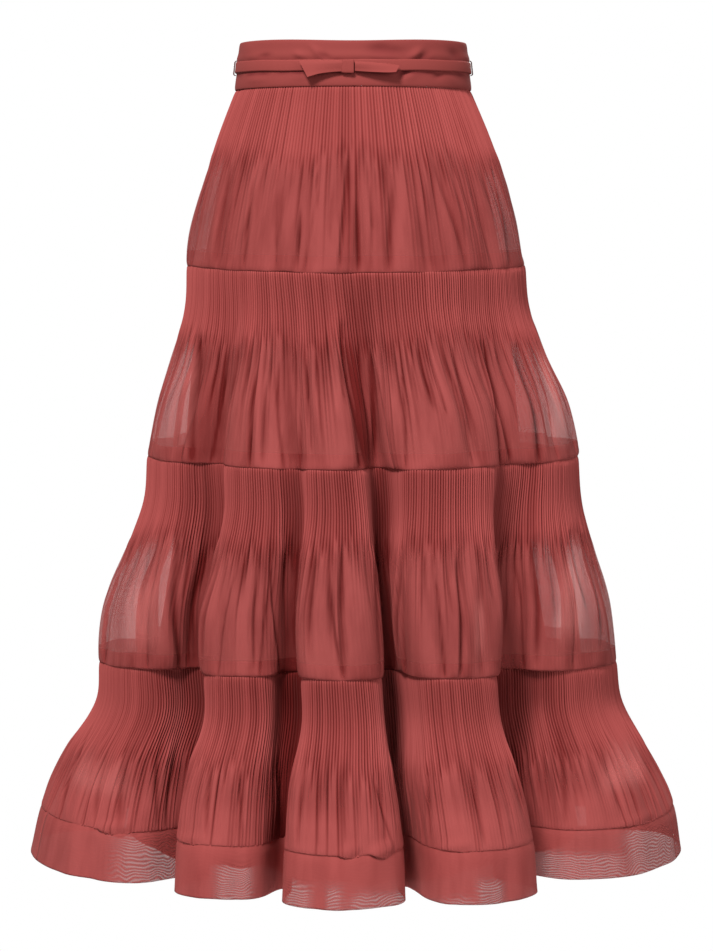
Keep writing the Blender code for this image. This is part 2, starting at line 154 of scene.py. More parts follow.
# The lobe after each fold: how far its crest reaches out at the hem, and how many degrees it leans.
Lobe = namedtuple("Lobe", "reach lean")
LOBES = rows_of(
    Lobe,
    (0.004, 0),
    (-0.012, 0),
    (0.002, 0),
    (0.002, -5),
    (0.004, 2),
    (-0.004, 2),
    (0.000, -2),
    (-0.008, 0),
    (0.002, 3),
    (-0.006, -2),
)
LEFT_SIDE_SEAM = 0.5
RIGHT_SIDE_SEAM = 4.5
CENTRE_BACK = 7.5

# The lining's outline at a few heights, and how far its front drops there.
LiningRing = namedtuple("LiningRing", "height half_width half_depth front_drop")
LINING = rows_of(
    LiningRing,
    (-0.0235, 0.1186, 0.0912, 0.000),
    (-0.2030, 0.1570, 0.1240, 0.000),
    (-0.4500, 0.1850, 0.1430, 0.000),
    (-0.8000, 0.2450, 0.1650, 0.012),
)

# The main creases, each along a line of the cloth: its tier, its place round the skirt in lobes at its
# top, how far it strays in lobes by its foot, the shares of the tier's height where it starts and ends,
# its width, and how far it stands out. A trough is negative: it drops off a soft lip on its left, and
# rises gently on its right.
Crease = namedtuple("Crease", "tier place stray top foot width out")
CREASES = rows_of(
    Crease,
    (0, 1.10, 0.10, 0.50, 1.02, 0.0042, -0.0026),
    (0, 2.20, -0.04, 0.66, 1.04, 0.0034, -0.0034),
    (0, 2.38, 0.06, 0.38, 0.66, 0.0030, -0.0018),
    (0, 2.92, -0.14, 0.38, 1.04, 0.0050, -0.0030),
    (0, 3.04, 0.00, 0.56, 1.00, 0.0036, -0.0022),
    (0, 3.34, -0.07, 0.58, 1.04, 0.0056, -0.0034),
    (0, 3.76, 0.15, 0.40, 1.04, 0.0036, -0.0024),
    (0, 3.86, 0.10, 0.55, 1.02, 0.0044, 0.0022),
    (0, 3.96, 0.06, 0.36, 0.80, 0.0038, -0.0024),
    (0, 4.40, -0.08, 0.38, 1.00, 0.0040, -0.0022),
    (0, 0.78, 0.06, 0.42, 1.00, 0.0040, -0.0022),
    (0, 5.45, 0.05, 0.42, 1.00, 0.0050, -0.0026),
    (0, 6.30, 0.06, 0.46, 1.00, 0.0045, -0.0028),
    (0, 7.05, -0.06, 0.55, 1.02, 0.0045, -0.0024),
    (0, 8.40, -0.05, 0.50, 1.02, 0.0050, -0.0028),
    (0, 9.30, 0.06, 0.40, 0.90, 0.0042, -0.0024),
    (1, 0.73, 0.13, 0.34, 1.06, 0.0060, -0.0062),
    (1, 0.93, 0.02, 0.38, 0.96, 0.0052, 0.0026),
    (1, 1.20, 0.02, 0.40, 0.90, 0.0040, -0.0022),
    (1, 1.52, 0.03, 0.52, 1.04, 0.0040, -0.0036),
    (1, 1.68, 0.01, 0.56, 1.00, 0.0070, -0.0034),
    (1, 1.72, 0.02, 0.34, 0.66, 0.0034, -0.0026),
    (1, 2.27, -0.04, 0.36, 0.80, 0.0036, -0.0022),
    (1, 2.74, -0.04, 0.24, 1.16, 0.0100, -0.0086),
    (1, 2.94, -0.02, 0.40, 1.04, 0.0050, -0.0030),
    (1, 3.06, -0.08, 0.42, 1.02, 0.0050, -0.0030),
    (1, 3.44, 0.02, 0.34, 0.70, 0.0046, -0.0034),
    (1, 3.70, -0.02, 0.38, 0.84, 0.0042, -0.0028),
    (1, 3.96, 0.06, 0.36, 1.06, 0.0044, -0.0044),
    (1, 4.22, -0.06, 0.38, 1.04, 0.0048, -0.0046),
    (1, 5.40, 0.06, 0.38, 1.04, 0.0052, -0.0044),
    (1, 6.62, -0.06, 0.36, 1.02, 0.0050, -0.0046),
    (1, 7.52, 0.05, 0.42, 1.00, 0.0050, -0.0034),
    (1, 8.46, 0.05, 0.36, 1.04, 0.0052, -0.0044),
    (1, 9.50, 0.05, 0.40, 0.98, 0.0050, -0.0036),
    (2, 0.65, 0.08, 0.36, 0.80, 0.0036, -0.0026),
    (2, 0.81, 0.06, 0.38, 1.02, 0.0046, -0.0046),
    (2, 1.30, 0.02, 0.40, 0.96, 0.0042, -0.0030),
    (2, 1.67, 0.00, 0.42, 0.97, 0.0038, -0.0036),
    (2, 1.77, 0.10, 0.42, 1.00, 0.0046, -0.0030),
    (2, 2.33, 0.02, 0.40, 0.92, 0.0038, -0.0034),
    (2, 2.53, -0.01, 0.36, 1.04, 0.0040, -0.0050),
    (2, 2.44, 0.00, 0.46, 0.90, 0.0060, 0.0026),
    (2, 3.24, -0.12, 0.40, 1.00, 0.0046, -0.0034),
    (2, 3.38, -0.03, 0.36, 1.00, 0.0050, 0.0030),
    (2, 3.55, -0.03, 0.38, 1.04, 0.0040, -0.0052),
    (2, 4.16, -0.01, 0.34, 0.98, 0.0044, -0.0044),
    (2, 4.34, 0.02, 0.34, 0.72, 0.0040, -0.0030),
    (2, 4.46, -0.05, 0.36, 0.90, 0.0044, -0.0030),
    (2, 5.52, 0.04, 0.38, 1.02, 0.0046, -0.0044),
    (2, 6.42, -0.04, 0.40, 1.02, 0.0044, -0.0046),
    (2, 7.58, 0.04, 0.38, 0.96, 0.0044, -0.0040),
    (2, 8.50, 0.03, 0.36, 1.02, 0.0048, -0.0046),
    (2, 9.46, -0.04, 0.38, 0.98, 0.0044, -0.0040),
    (3, 0.52, 0.08, 0.30, 0.82, 0.0036, -0.0021),
    (3, 0.68, 0.03, 0.40, 0.76, 0.0040, -0.0020),
    (3, 0.74, 0.04, 0.36, 0.78, 0.0042, -0.0026),
    (3, 0.82, 0.05, 0.28, 0.74, 0.0036, -0.0020),
    (3, 1.48, 0.03, 0.40, 0.76, 0.0040, -0.0021),
    (3, 1.62, 0.06, 0.32, 0.74, 0.0038, -0.0020),
    (3, 2.34, -0.02, 0.36, 0.74, 0.0040, -0.0021),
    (3, 2.51, 0.00, 0.34, 0.70, 0.0036, -0.0020),
    (3, 2.62, 0.07, 0.42, 0.74, 0.0042, -0.0023),
    (3, 3.34, -0.06, 0.36, 0.76, 0.0040, -0.0021),
    (3, 3.51, 0.01, 0.36, 0.74, 0.0040, -0.0022),
    (3, 4.20, -0.04, 0.28, 0.74, 0.0040, -0.0021),
    (3, 4.31, -0.01, 0.30, 0.68, 0.0038, -0.0020),
    (3, 4.45, -0.02, 0.40, 0.76, 0.0040, -0.0022),
    (3, 5.50, 0.02, 0.36, 0.76, 0.0045, -0.0022),
    (3, 6.45, -0.02, 0.34, 0.74, 0.0045, -0.0022),
    (3, 7.55, 0.02, 0.38, 0.76, 0.0045, -0.0022),
    (3, 8.40, 0.02, 0.34, 0.76, 0.0045, -0.0023),
    (3, 9.58, -0.02, 0.36, 0.74, 0.0045, -0.0021),
)

# Where the cloth is drawn thin, or lies closer where `thin` is below 0, and where painted shade darkens
# it: the tier, the place in lobes at the top, how far it strays by the foot, how far it spreads to each
# side in lobes, and the shares of the tier's height where it starts and ends.
Opening = namedtuple("Opening", "tier place stray reach top foot thin shade")
OPENINGS = rows_of(
    Opening,
    (0, 0.86, 0.02, 0.08, 0.40, 1.00, -0.4, 0.4),
    (0, 2.98, -0.08, 0.12, 0.34, 1.02, -0.6, 0.6),
    (0, 3.84, 0.14, 0.07, 0.44, 1.00, -0.3, 0.3),
    (0, 8.40, -0.05, 0.10, 0.40, 1.00, -0.5, 0.5),
    (1, 0.68, 0.08, 0.08, 0.46, 0.90, 0.3, 0.0),
    (1, 0.86, 0.08, 0.08, 0.40, 1.04, -0.8, 1.0),
    (1, 1.52, 0.04, 0.05, 0.46, 1.04, -0.5, 0.7),
    (1, 2.84, -0.04, 0.07, 0.30, 1.20, 0.0, 1.2),
    (1, 2.94, -0.04, 0.14, 0.02, 1.10, -0.8, 0.9),
    (1, 4.27, -0.19, 0.10, 0.38, 0.92, -0.6, 0.1),
    (1, 4.50, -0.14, 0.09, 0.43, 0.90, 1.0, 0.0),
    (1, 6.66, -0.06, 0.10, 0.38, 1.04, -0.6, 0.8),
    (1, 8.50, 0.05, 0.10, 0.38, 1.04, -0.6, 0.8),
    (2, 0.60, 0.03, 0.05, 0.44, 0.92, -0.3, 0.0),
    (2, 0.70, 0.03, 0.08, 0.56, 0.90, 0.5, 0.0),
    (2, 0.92, 0.03, 0.08, 0.34, 1.04, -0.6, 0.7),
    (2, 2.98, 0.00, 0.08, -0.20, 1.20, -0.6, 1.6),
    (2, 3.64, -0.02, 0.03, 0.64, 0.88, 0.6, 0.0),
    (2, 4.18, -0.02, 0.04, 0.40, 0.90, -0.5, 0.1),
    (2, 4.33, -0.07, 0.06, 0.46, 0.84, 1.0, 0.0),
    (2, 4.50, -0.08, 0.08, 0.40, 0.96, -0.6, 0.1),
    (2, 6.60, -0.04, 0.06, 0.50, 0.88, 0.6, 0.0),
    (3, 0.62, 0.07, 0.10, 0.34, 0.60, 0.55, 0.0),
    (3, 4.46, -0.11, 0.09, 0.27, 0.58, 0.9, 0.0),
    (3, 8.42, 0.05, 0.08, 0.36, 0.60, 0.6, 0.0),
)

# Where the foot of the lowest tier folds over its seam: the place in lobes, how far to each side in
# metres, how far it stands out and how far it hangs down.
Tuck = namedtuple("Tuck", "place reach out down")
TUCKS = rows_of(
    Tuck,
    (0.76, 0.012, 0.0030, 0.0060),
    (1.42, 0.016, 0.0012, 0.0024),
    (2.52, 0.012, 0.0024, 0.0048),
    (2.64, 0.014, 0.0036, 0.0070),
    (3.40, 0.020, 0.0014, 0.0024),
    (4.34, 0.020, 0.0016, 0.0030),
    (5.60, 0.014, 0.0028, 0.0055),
    (6.46, 0.020, 0.0016, 0.0030),
    (7.60, 0.013, 0.0030, 0.0060),
    (8.44, 0.016, 0.0018, 0.0036),
    (9.52, 0.014, 0.0028, 0.0050),
)

# The soft upright folds of the hem band: the place in lobes, the width and how far it stands out.
HemFold = namedtuple("HemFold", "place width out")
HEM_FOLDS = rows_of(
    HemFold,
    (0.66, 0.0080, 0.0024),
    (0.72, 0.0060, -0.0028),
    (0.84, 0.0090, 0.0018),
    (1.50, 0.0110, 0.0018),
    (1.66, 0.0080, -0.0018),
    (2.40, 0.0070, -0.0020),
    (2.48, 0.0080, 0.0022),
    (2.64, 0.0100, -0.0018),
    (3.36, 0.0110, 0.0018),
    (3.58, 0.0080, -0.0022),
    (4.20, 0.0110, -0.0020),
    (4.32, 0.0120, 0.0020),
    (5.46, 0.0090, -0.0024),
    (5.60, 0.0110, 0.0020),
    (6.48, 0.0120, 0.0020),
    (7.50, 0.0080, -0.0024),
    (8.46, 0.0110, 0.0022),
    (9.40, 0.0080, -0.0020),
)

# Where the two layers of the hem band part and light comes through: the place in lobes, how far it
# spreads to each side in lobes, and the share of the band's height where it starts.
Parting = namedtuple("Parting", "place reach top")
PARTINGS = rows_of(
    Parting,
    (0.86, 0.080, 0.02),
    (1.645, 0.100, 0.24),
    (2.33, 0.080, 0.42),
    (2.47, 0.035, 0.46),
    (2.64, 0.130, 0.74),
    (3.53, 0.055, 0.46),
    (3.44, 0.230, 0.88),
    (4.20, 0.130, 0.38),
    (4.41, 0.150, 0.00),
    (5.45, 0.120, 0.30),
    (6.50, 0.140, 0.40),
    (7.40, 0.120, 0.20),
    (8.55, 0.150, 0.44),
    (9.50, 0.120, 0.30),
)

# The rows of points of the hem band, as shares of its height. It starts inside the foot of the tier.
HEM_ROWS = (-0.09, 0, 0.04, 0.10, 0.18, 0.26, 0.34, 0.42, 0.50, 0.58, 0.66, 0.74, 0.82, 0.90, 0.96, 1.0)

# How far the lining's foot hangs below its lowest ring, by plan angle in degrees.
LINING_FOOT = (
    (-90, -0.002), (-66, -0.001), (-50, 0.008), (-38, 0.006), (-30, 0.000), (-18, 0.013), (0, 0.016),
    (16, 0.014), (30, 0.015), (42, 0.004), (60, -0.001), (90, -0.004), (140, -0.003), (180, -0.002),
    (220, 0.000), (270, -0.002),
)

# A soft crease in the waistband: its place round it in degrees and its height as a share of the band's,
# how far it spreads in degrees and in height, how much it leans, and how far it stands out.
BandCrease = namedtuple("BandCrease", "angle rise spread tall lean out")
BAND_CREASES = rows_of(
    BandCrease,
    (-55, 0.66, 4, 0.06, 10, -0.0015),
    (-33, 0.68, 3, 0.07, -14, 0.0014),
    (-22, 0.74, 3, 0.14, -24, 0.0019),
    (-18, 0.66, 3, 0.08, -20, -0.0017),
    (16, 0.80, 7, 0.13, 10, -0.0016),
    (26, 0.74, 8, 0.10, -10, -0.0015),
    (38, 0.70, 3, 0.12, 24, 0.0020),
    (43, 0.64, 3, 0.10, 20, -0.0019),
    (66, 0.70, 5, 0.12, -12, -0.0017),
    (-70, 0.82, 8, 0.12, 0, 0.0012),
    (-60, 0.17, 8, 0.08, 0, 0.0010),
    (-30, 0.20, 8, 0.10, 10, 0.0008),
    (31, 0.30, 2.5, 0.10, 26, -0.0032),
    (35, 0.22, 4, 0.10, 20, 0.0008),
    (52, 0.24, 3, 0.07, 10, -0.0015),
    (60, 0.18, 5, 0.10, -8, 0.0006),
    (112, 0.72, 5, 0.12, 14, -0.0015),
    (138, 0.20, 6, 0.10, -10, 0.0012),
    (158, 0.70, 4, 0.12, 18, 0.0014),
    (205, 0.68, 4, 0.10, -16, -0.0015),
    (228, 0.22, 5, 0.08, 12, 0.0012),
    (250, 0.74, 6, 0.12, 8, -0.0014),
)

# ---------------------------------------------------------------- reading the tables

TURN = len(LOBES)
BACK_END = LEFT_SIDE_SEAM + TURN
HALF_LOBES = [(half / 2, (half + 1) / 2) for half in range(1, 2 * TURN + 1)]
LAST_TIER = len(TIERS) - 1
HEM_TOP = 1 - HEM_BAND_SHARE
SEAM_WAVER = 0.0005
SEAM_RIPPLE = 0.0003
# Folds this deep take their full painted shade.
DARK_FOLD_DEPTH = 0.06


def mix(a, b, share):
    return a + (b - a) * share


def ease(low, high, value):
    """0 below `low`, 1 above `high`, and a smooth climb between them."""
    t = np.clip((value - low) / (high - low), 0.0, 1.0)
    return t * t * (3 - 2 * t)


def bell(value, centre, width):
    """1 at the centre, falling softly away to each side."""
    return np.exp(-(((value - centre) / width) ** 2))


def fade(distance, reach):
    """1 at no distance, dying away over `reach`."""
    return np.exp(-distance / reach)


def read_smoothly(stations, rows, at):
    """The columns of a short table at `at`, on a smooth curve through its rows."""
    stations = np.asarray(stations, float)
    rows = np.asarray(rows, float)
    slopes = np.gradient(rows, stations, axis=0)
    number = int(np.clip(np.searchsorted(stations, at, side="right") - 1, 0, len(stations) - 2))
    span = stations[number + 1] - stations[number]
    t = (at - stations[number]) / span
    before, after = rows[number], rows[number + 1]
    rise_before, rise_after = slopes[number] * span, slopes[number + 1] * span
    return (
        before * (2 * t**3 - 3 * t**2 + 1)
        + rise_before * (t**3 - 2 * t**2 + t)
        + after * (3 * t**2 - 2 * t**3)
        + rise_after * (t**3 - t**2)
    )


def tier_top(index):
    return -BAND_HEIGHT / 2 - sum(tier.height for tier in TIERS[:index])


def section_at(index, share):
    """The row of SECTIONS from half_width on, at this share of a tier's height."""
    rows = [row for row in SECTIONS if row.tier == index]
    return read_smoothly([row.share for row in rows], [row[2:] for row in rows], share)


def folds_at(index, share):
    """Plan angles in radians and depths of all the folds, once round and two more."""
    eased = share * share * (3 - 2 * share)
    above = index - 1 if index else 0
    angles = [radians(mix(fold.angles[above], fold.angles[index], share)) for fold in FOLDS]
    depths = [mix(fold.depths[above] if index else 0.0, fold.depths[index], eased) for fold in FOLDS]
    return np.array(angles + [angles[0] + 2 * pi, angles[1] + 2 * pi]), np.array(depths + depths[:2])


def fold_and_phase(u):
    """The fold before each place, how far past it the place lies, and 1 where the next fold is nearer."""
    number = np.clip(np.floor(u).astype(int), 0, TURN)
    phase = u - number
    return number, phase, (phase >= 0.5).astype(int)


def plain_outline(angle, half_width, half_depth):
    return 1 / np.hypot(np.sin(angle) / half_width, np.cos(angle) / half_depth)


def cloth_in_plan(u, index, share):
    """Across and depth of the cloth at an array of places round the skirt."""
    number, phase, past = fold_and_phase(u)
    level = (index + share) / len(TIERS)
    half_width, half_depth, sway, pinch, wall = section_at(index, share)
    angles, depths = folds_at(index, share)
    reach = np.array([lobe.reach for lobe in LOBES + LOBES[:1]])[number]
    lean = np.radians([lobe.lean for lobe in LOBES + LOBES[:1]])[number]
    middle = (angles[number] + angles[number + 1]) / 2 + lean * level
    floor, depth = angles[number + past], depths[number + past]
    climb = 2 * pi * np.minimum(phase, 1 - phase)
    swing = climb - pinch * np.sin(climb) + wall * np.sin(2 * climb) / 2
    angle = floor + (middle - floor) * swing / pi
    crest = (1 - np.cos(climb)) / 2
    stand = reach * level * crest - depth * (1 - crest)
    radius = plain_outline(angle, half_width, half_depth) + stand
    return radius * np.sin(angle) + sway, -radius * np.cos(angle)


def painted_hollow_shade(u, index, share):
    """Painted shade on the floor of a deep fold between lobes, 0 on its crests."""
    number, phase, past = fold_and_phase(u)
    depths = folds_at(index, share)[1]
    shades = np.array([fold.shade for fold in FOLDS + FOLDS[:2]])
    floor = (1 + np.cos(2 * pi * phase)) / 2
    deep = np.clip(depths[number + past] / DARK_FOLD_DEPTH, 0, 1)
    return shades[number + past] * floor**2 * deep


def outward(u, index, share, step=0.004):
    """The level direction that points out of the cloth, as its two parts."""
    ahead = cloth_in_plan(u + step, index, share)
    behind = cloth_in_plan(u - step, index, share)
    along_x, along_y = ahead[0] - behind[0], ahead[1] - behind[1]
    length = np.hypot(along_x, along_y)
    return along_y / length, -along_x / length


def seam_height(index, share, across, depth):
    """Height of the cloth: the seams dip or rise at the front, and sit a little unevenly."""
    plan_angle = np.arctan2(across, -depth)
    frontness = np.maximum(0.0, np.cos(plan_angle))
    above = TIERS[index - 1].front_drop if index else 0.0
    dip = mix(above, TIERS[index].front_drop, share) * frontness
    waver = SEAM_WAVER * np.sin(9 * plan_angle + 2 * index) + SEAM_RIPPLE * np.sin(23 * plan_angle)
    return tier_top(index) - TIERS[index].height * share - dip + waver * np.sin(pi * share / 2)


def cloth_points(u, index, share, out):
    """Points `out` metres outside the cloth of one tier. Above its seam the cloth runs straight up."""
    x, y = cloth_in_plan(u, index, max(share, 0))
    out_x, out_y = outward(u, index, max(share, 0))
    return np.stack([x + out_x * out, y + out_y * out, seam_height(index, share, x, y)], axis=1)


def run_of(points):
    """How far along a line of points each of them lies."""
    return np.concatenate([[0], np.cumsum(np.linalg.norm(np.diff(points, axis=0), axis=1))])


# ---------------------------------------------------------------- rings of pleated cloth

PLEATS_COUNTED_AT = 0.12
LEAST_PLEATS = 3
FIRST_SEED = 20
STRONGEST_ZIGZAG = 0.00095
ZIGZAG_LEFT = 0.10

# How the pleats differ: in depth, in how dark the painted shade along their inner folds is, in where
# they let go, one by one and in waves, and in the lengths over which they do so, each with its
# likelihood.
DEPTH_VARIES = 0.25
PLEAT_LINE_SHADES = (0.5, 0.75, 1.0)
RAGGED = 0.02
RAGGED_WAVES = 0.04
EASE_LENGTHS = (0.30, 0.65, 1.2, 2.8)
EASE_ODDS = (0.38, 0.30, 0.16, 0.16)

# Beside the stitches the pleats lie flat and the cloth is drawn in, over a few millimetres. The hidden
# allowance above a seam leans back, and the doubled foot swells a little before it turns under.
STITCHED_FLAT = 0.85
STITCH_REACH = 0.0020
DRAWN_IN = 0.0003
DRAWN_BELOW = 0.0012
DRAWN_ABOVE = 0.0008
SEWN_BELOW = 0.0040
SEWN_ABOVE = 0.0070
SEWN_FLAT = 0.9
ALLOWANCE_BACK = 0.0009
ALLOWANCE_LEAN = 0.45
FOOT_SWELL = 0.0003
SWELL_HEIGHT = 0.0040
SWELL_REACH = 0.0035
GROOVE_DEPTH = 0.0009
GROOVE_WIDTH = 0.0016

# A trough falls steeply on its left, under a low soft lip.
STEEP_SIDE = 2.2
LIP_HEIGHT = 0.45
LIP_NARROWS = 1.5
LIP_AT = -1.8

# A tuck bulges a little above the foot, and hangs down from a hinge at its seam.
TUCK_BULGE = (0.0050, 0.0034)
TUCK_HANG = (0.0010, 0.0040)
TUCK_HINGE = 0.0006

# An opening fades out to each side, ragged by a little, and down its height from its start to its end.
OPENING_EDGE = (1.35, 0.45)
OPENING_RAGGED = 0.12
OPENING_STARTS = (-0.15, 0.30)
OPENING_ENDS = (1.15, 0.75)

# How strongly the masks mark painted shade in creases and in shaded places, and cloth drawn thin or
# lying closer. The cloth of a pleat opens from a little before it lets go, and the lower half of a tier
# may be denser. The lowest tier has no doubled foot of its own, so its cloth counts as far above one.
CREASE_SHADE = 0.8
CREASE_DARK_AT = 0.0034
OPENING_SHADE = 0.32
THIN_OPENS = 0.8
CLOSER_SHUTS = 0.7
OPENS_BEFORE = 0.04
OPENS_BY = 0.16
LOWER_HALF = (0.50, 0.64)
NO_DOUBLED_FOOT = 1.0


def run_along(index, share, start, end, count):
    """Places between two others, and how far along the cloth each lies."""
    u = np.linspace(start, end, count)
    return u, run_of(np.stack(cloth_in_plan(u, index, share), axis=1))


def column_counts(index):
    """How many columns of points each half lobe takes, two to a pleat, from the left side seam round."""
    counts = []
    for start, end in HALF_LOBES:
        length = run_along(index, PLEATS_COUNTED_AT, start, end, 60)[1][-1]
        counts.append(2 * max(LEAST_PLEATS, round(length / TIERS[index].pitch)))
    return counts


def even_places(index, share, counts):
    """Where each column lies at this height: even steps along the cloth between folds and crests."""
    places = []
    for (start, end), count in zip(HALF_LOBES, counts):
        u, run = run_along(index, share, start, end, 240)
        places.append(np.interp(np.arange(count) / count * run[-1], run, u))
    return np.concatenate(places + [[BACK_END]])


def line_places(counts):
    """The same columns as numbers of lobes along the cloth, which stay the same from top to foot."""
    lines = [start + np.arange(count) / count / 2 for (start, _), count in zip(HALF_LOBES, counts)]
    return np.concatenate(lines + [[BACK_END]])


def columns_between(lines, start, end):
    """The columns from one place round the skirt to another, and their share of the whole round."""
    first, last = np.searchsorted(lines, [start - 1e-6, end - 1e-6])
    return slice(first, last + 1), (lines[last] - lines[first]) / TURN


def smooth_noise(random, count, spacing):
    """Values from -1 to 1 that change slowly from one pleat to the next, and meet at the ends."""
    knots = max(4, round(count / spacing))
    values = random.uniform(-1, 1, knots)
    values = np.append(values, values[0])
    return np.interp(np.linspace(0, knots, count), np.arange(knots + 1), values)


def row_shares(index):
    """Shares of the tier's height where a row of points lies, closer at the seams."""
    foot = HEM_TOP if index == LAST_TIER else 1.0
    allowance = [-0.022, -0.010] if index else []
    near_top = [0.0, 0.004, 0.010, 0.020, 0.035]
    near_foot = [0.955, 0.970, 0.982, 0.991, 1.0]
    middle = np.linspace(0.06, 0.935, 34)
    return np.concatenate([allowance, near_top, middle, near_foot]) * foot


class SoftFolds:
    """Rounded folds side by side with narrow furrows between them, each a little unlike the next."""

    # How far the folds drift in pleats, their sizes, how many lean to the right and how steeply, how
    # early or late they start and end, how round they are and how far they sink between, the width in
    # pleats of the painted shade in their furrows, and the size of fold that makes it fully dark.
    DRIFT = 0.35
    SIZES = (0.35, 1.4)
    LEAN_RIGHT = 0.7
    STEEP_RIGHT = (1.4, 2.4)
    STEEP_LEFT = (0.45, 0.8)
    STARTS_LATE = (-0.06, 0.06)
    ENDS_LATE = (-0.14, 0.10)
    ROUNDNESS = 2.6
    SUNK = 0.33
    FURROW_PLEATS = 0.6
    FURROW_DARK_AT = 0.0024

    def __init__(self, random, pleats, row):
        self.row = row
        bounds = [0]
        while bounds[-1] < pleats - row.most_pleats:
            bounds.append(bounds[-1] + int(random.integers(row.least_pleats, row.most_pleats + 1)))
        self.bounds = np.array(bounds + [pleats], float)
        folds = len(self.bounds) - 1
        self.drift = random.uniform(-self.DRIFT, self.DRIFT, folds + 1) * row.least_pleats
        self.drift[[0, -1]] = 0
        self.out = row.out * random.uniform(*self.SIZES, folds)
        to_the_right = random.random(folds) < self.LEAN_RIGHT
        steep_right = random.uniform(*self.STEEP_RIGHT, folds)
        steep_left = random.uniform(*self.STEEP_LEFT, folds)
        self.skew = np.where(to_the_right, steep_right, steep_left)
        self.late = random.uniform(*self.STARTS_LATE, folds)
        self.ends = random.uniform(*self.ENDS_LATE, folds)

    def stand_out(self, column, share):
        """How far the cloth stands out at each column, and the painted shade in the furrows between
        folds.
        """
        row = self.row
        bounds = self.bounds + self.drift * np.clip((share - row.starts) / (1 - row.starts), 0, 1)
        number = np.clip(np.searchsorted(bounds, column, side="right") - 1, 0, len(bounds) - 2)
        low, high = bounds[number], bounds[number + 1]
        t = np.clip((column - low) / (high - low), 0, 1) ** self.skew[number]
        hump = 1 - np.abs(2 * t - 1) ** self.ROUNDNESS
        late, ends = self.late[number], self.ends[number]
        size = self.out[number] * ease(row.starts + late, row.full + late, share)
        size = size * (1 - ease(row.fades + ends, row.gone + ends, share))
        edge = np.clip(1 - np.minimum(column - low, high - column) / self.FURROW_PLEATS, 0, 1)
        furrow = edge * np.clip(size / self.FURROW_DARK_AT, 0, 1)
        return size * (hump - self.SUNK), furrow


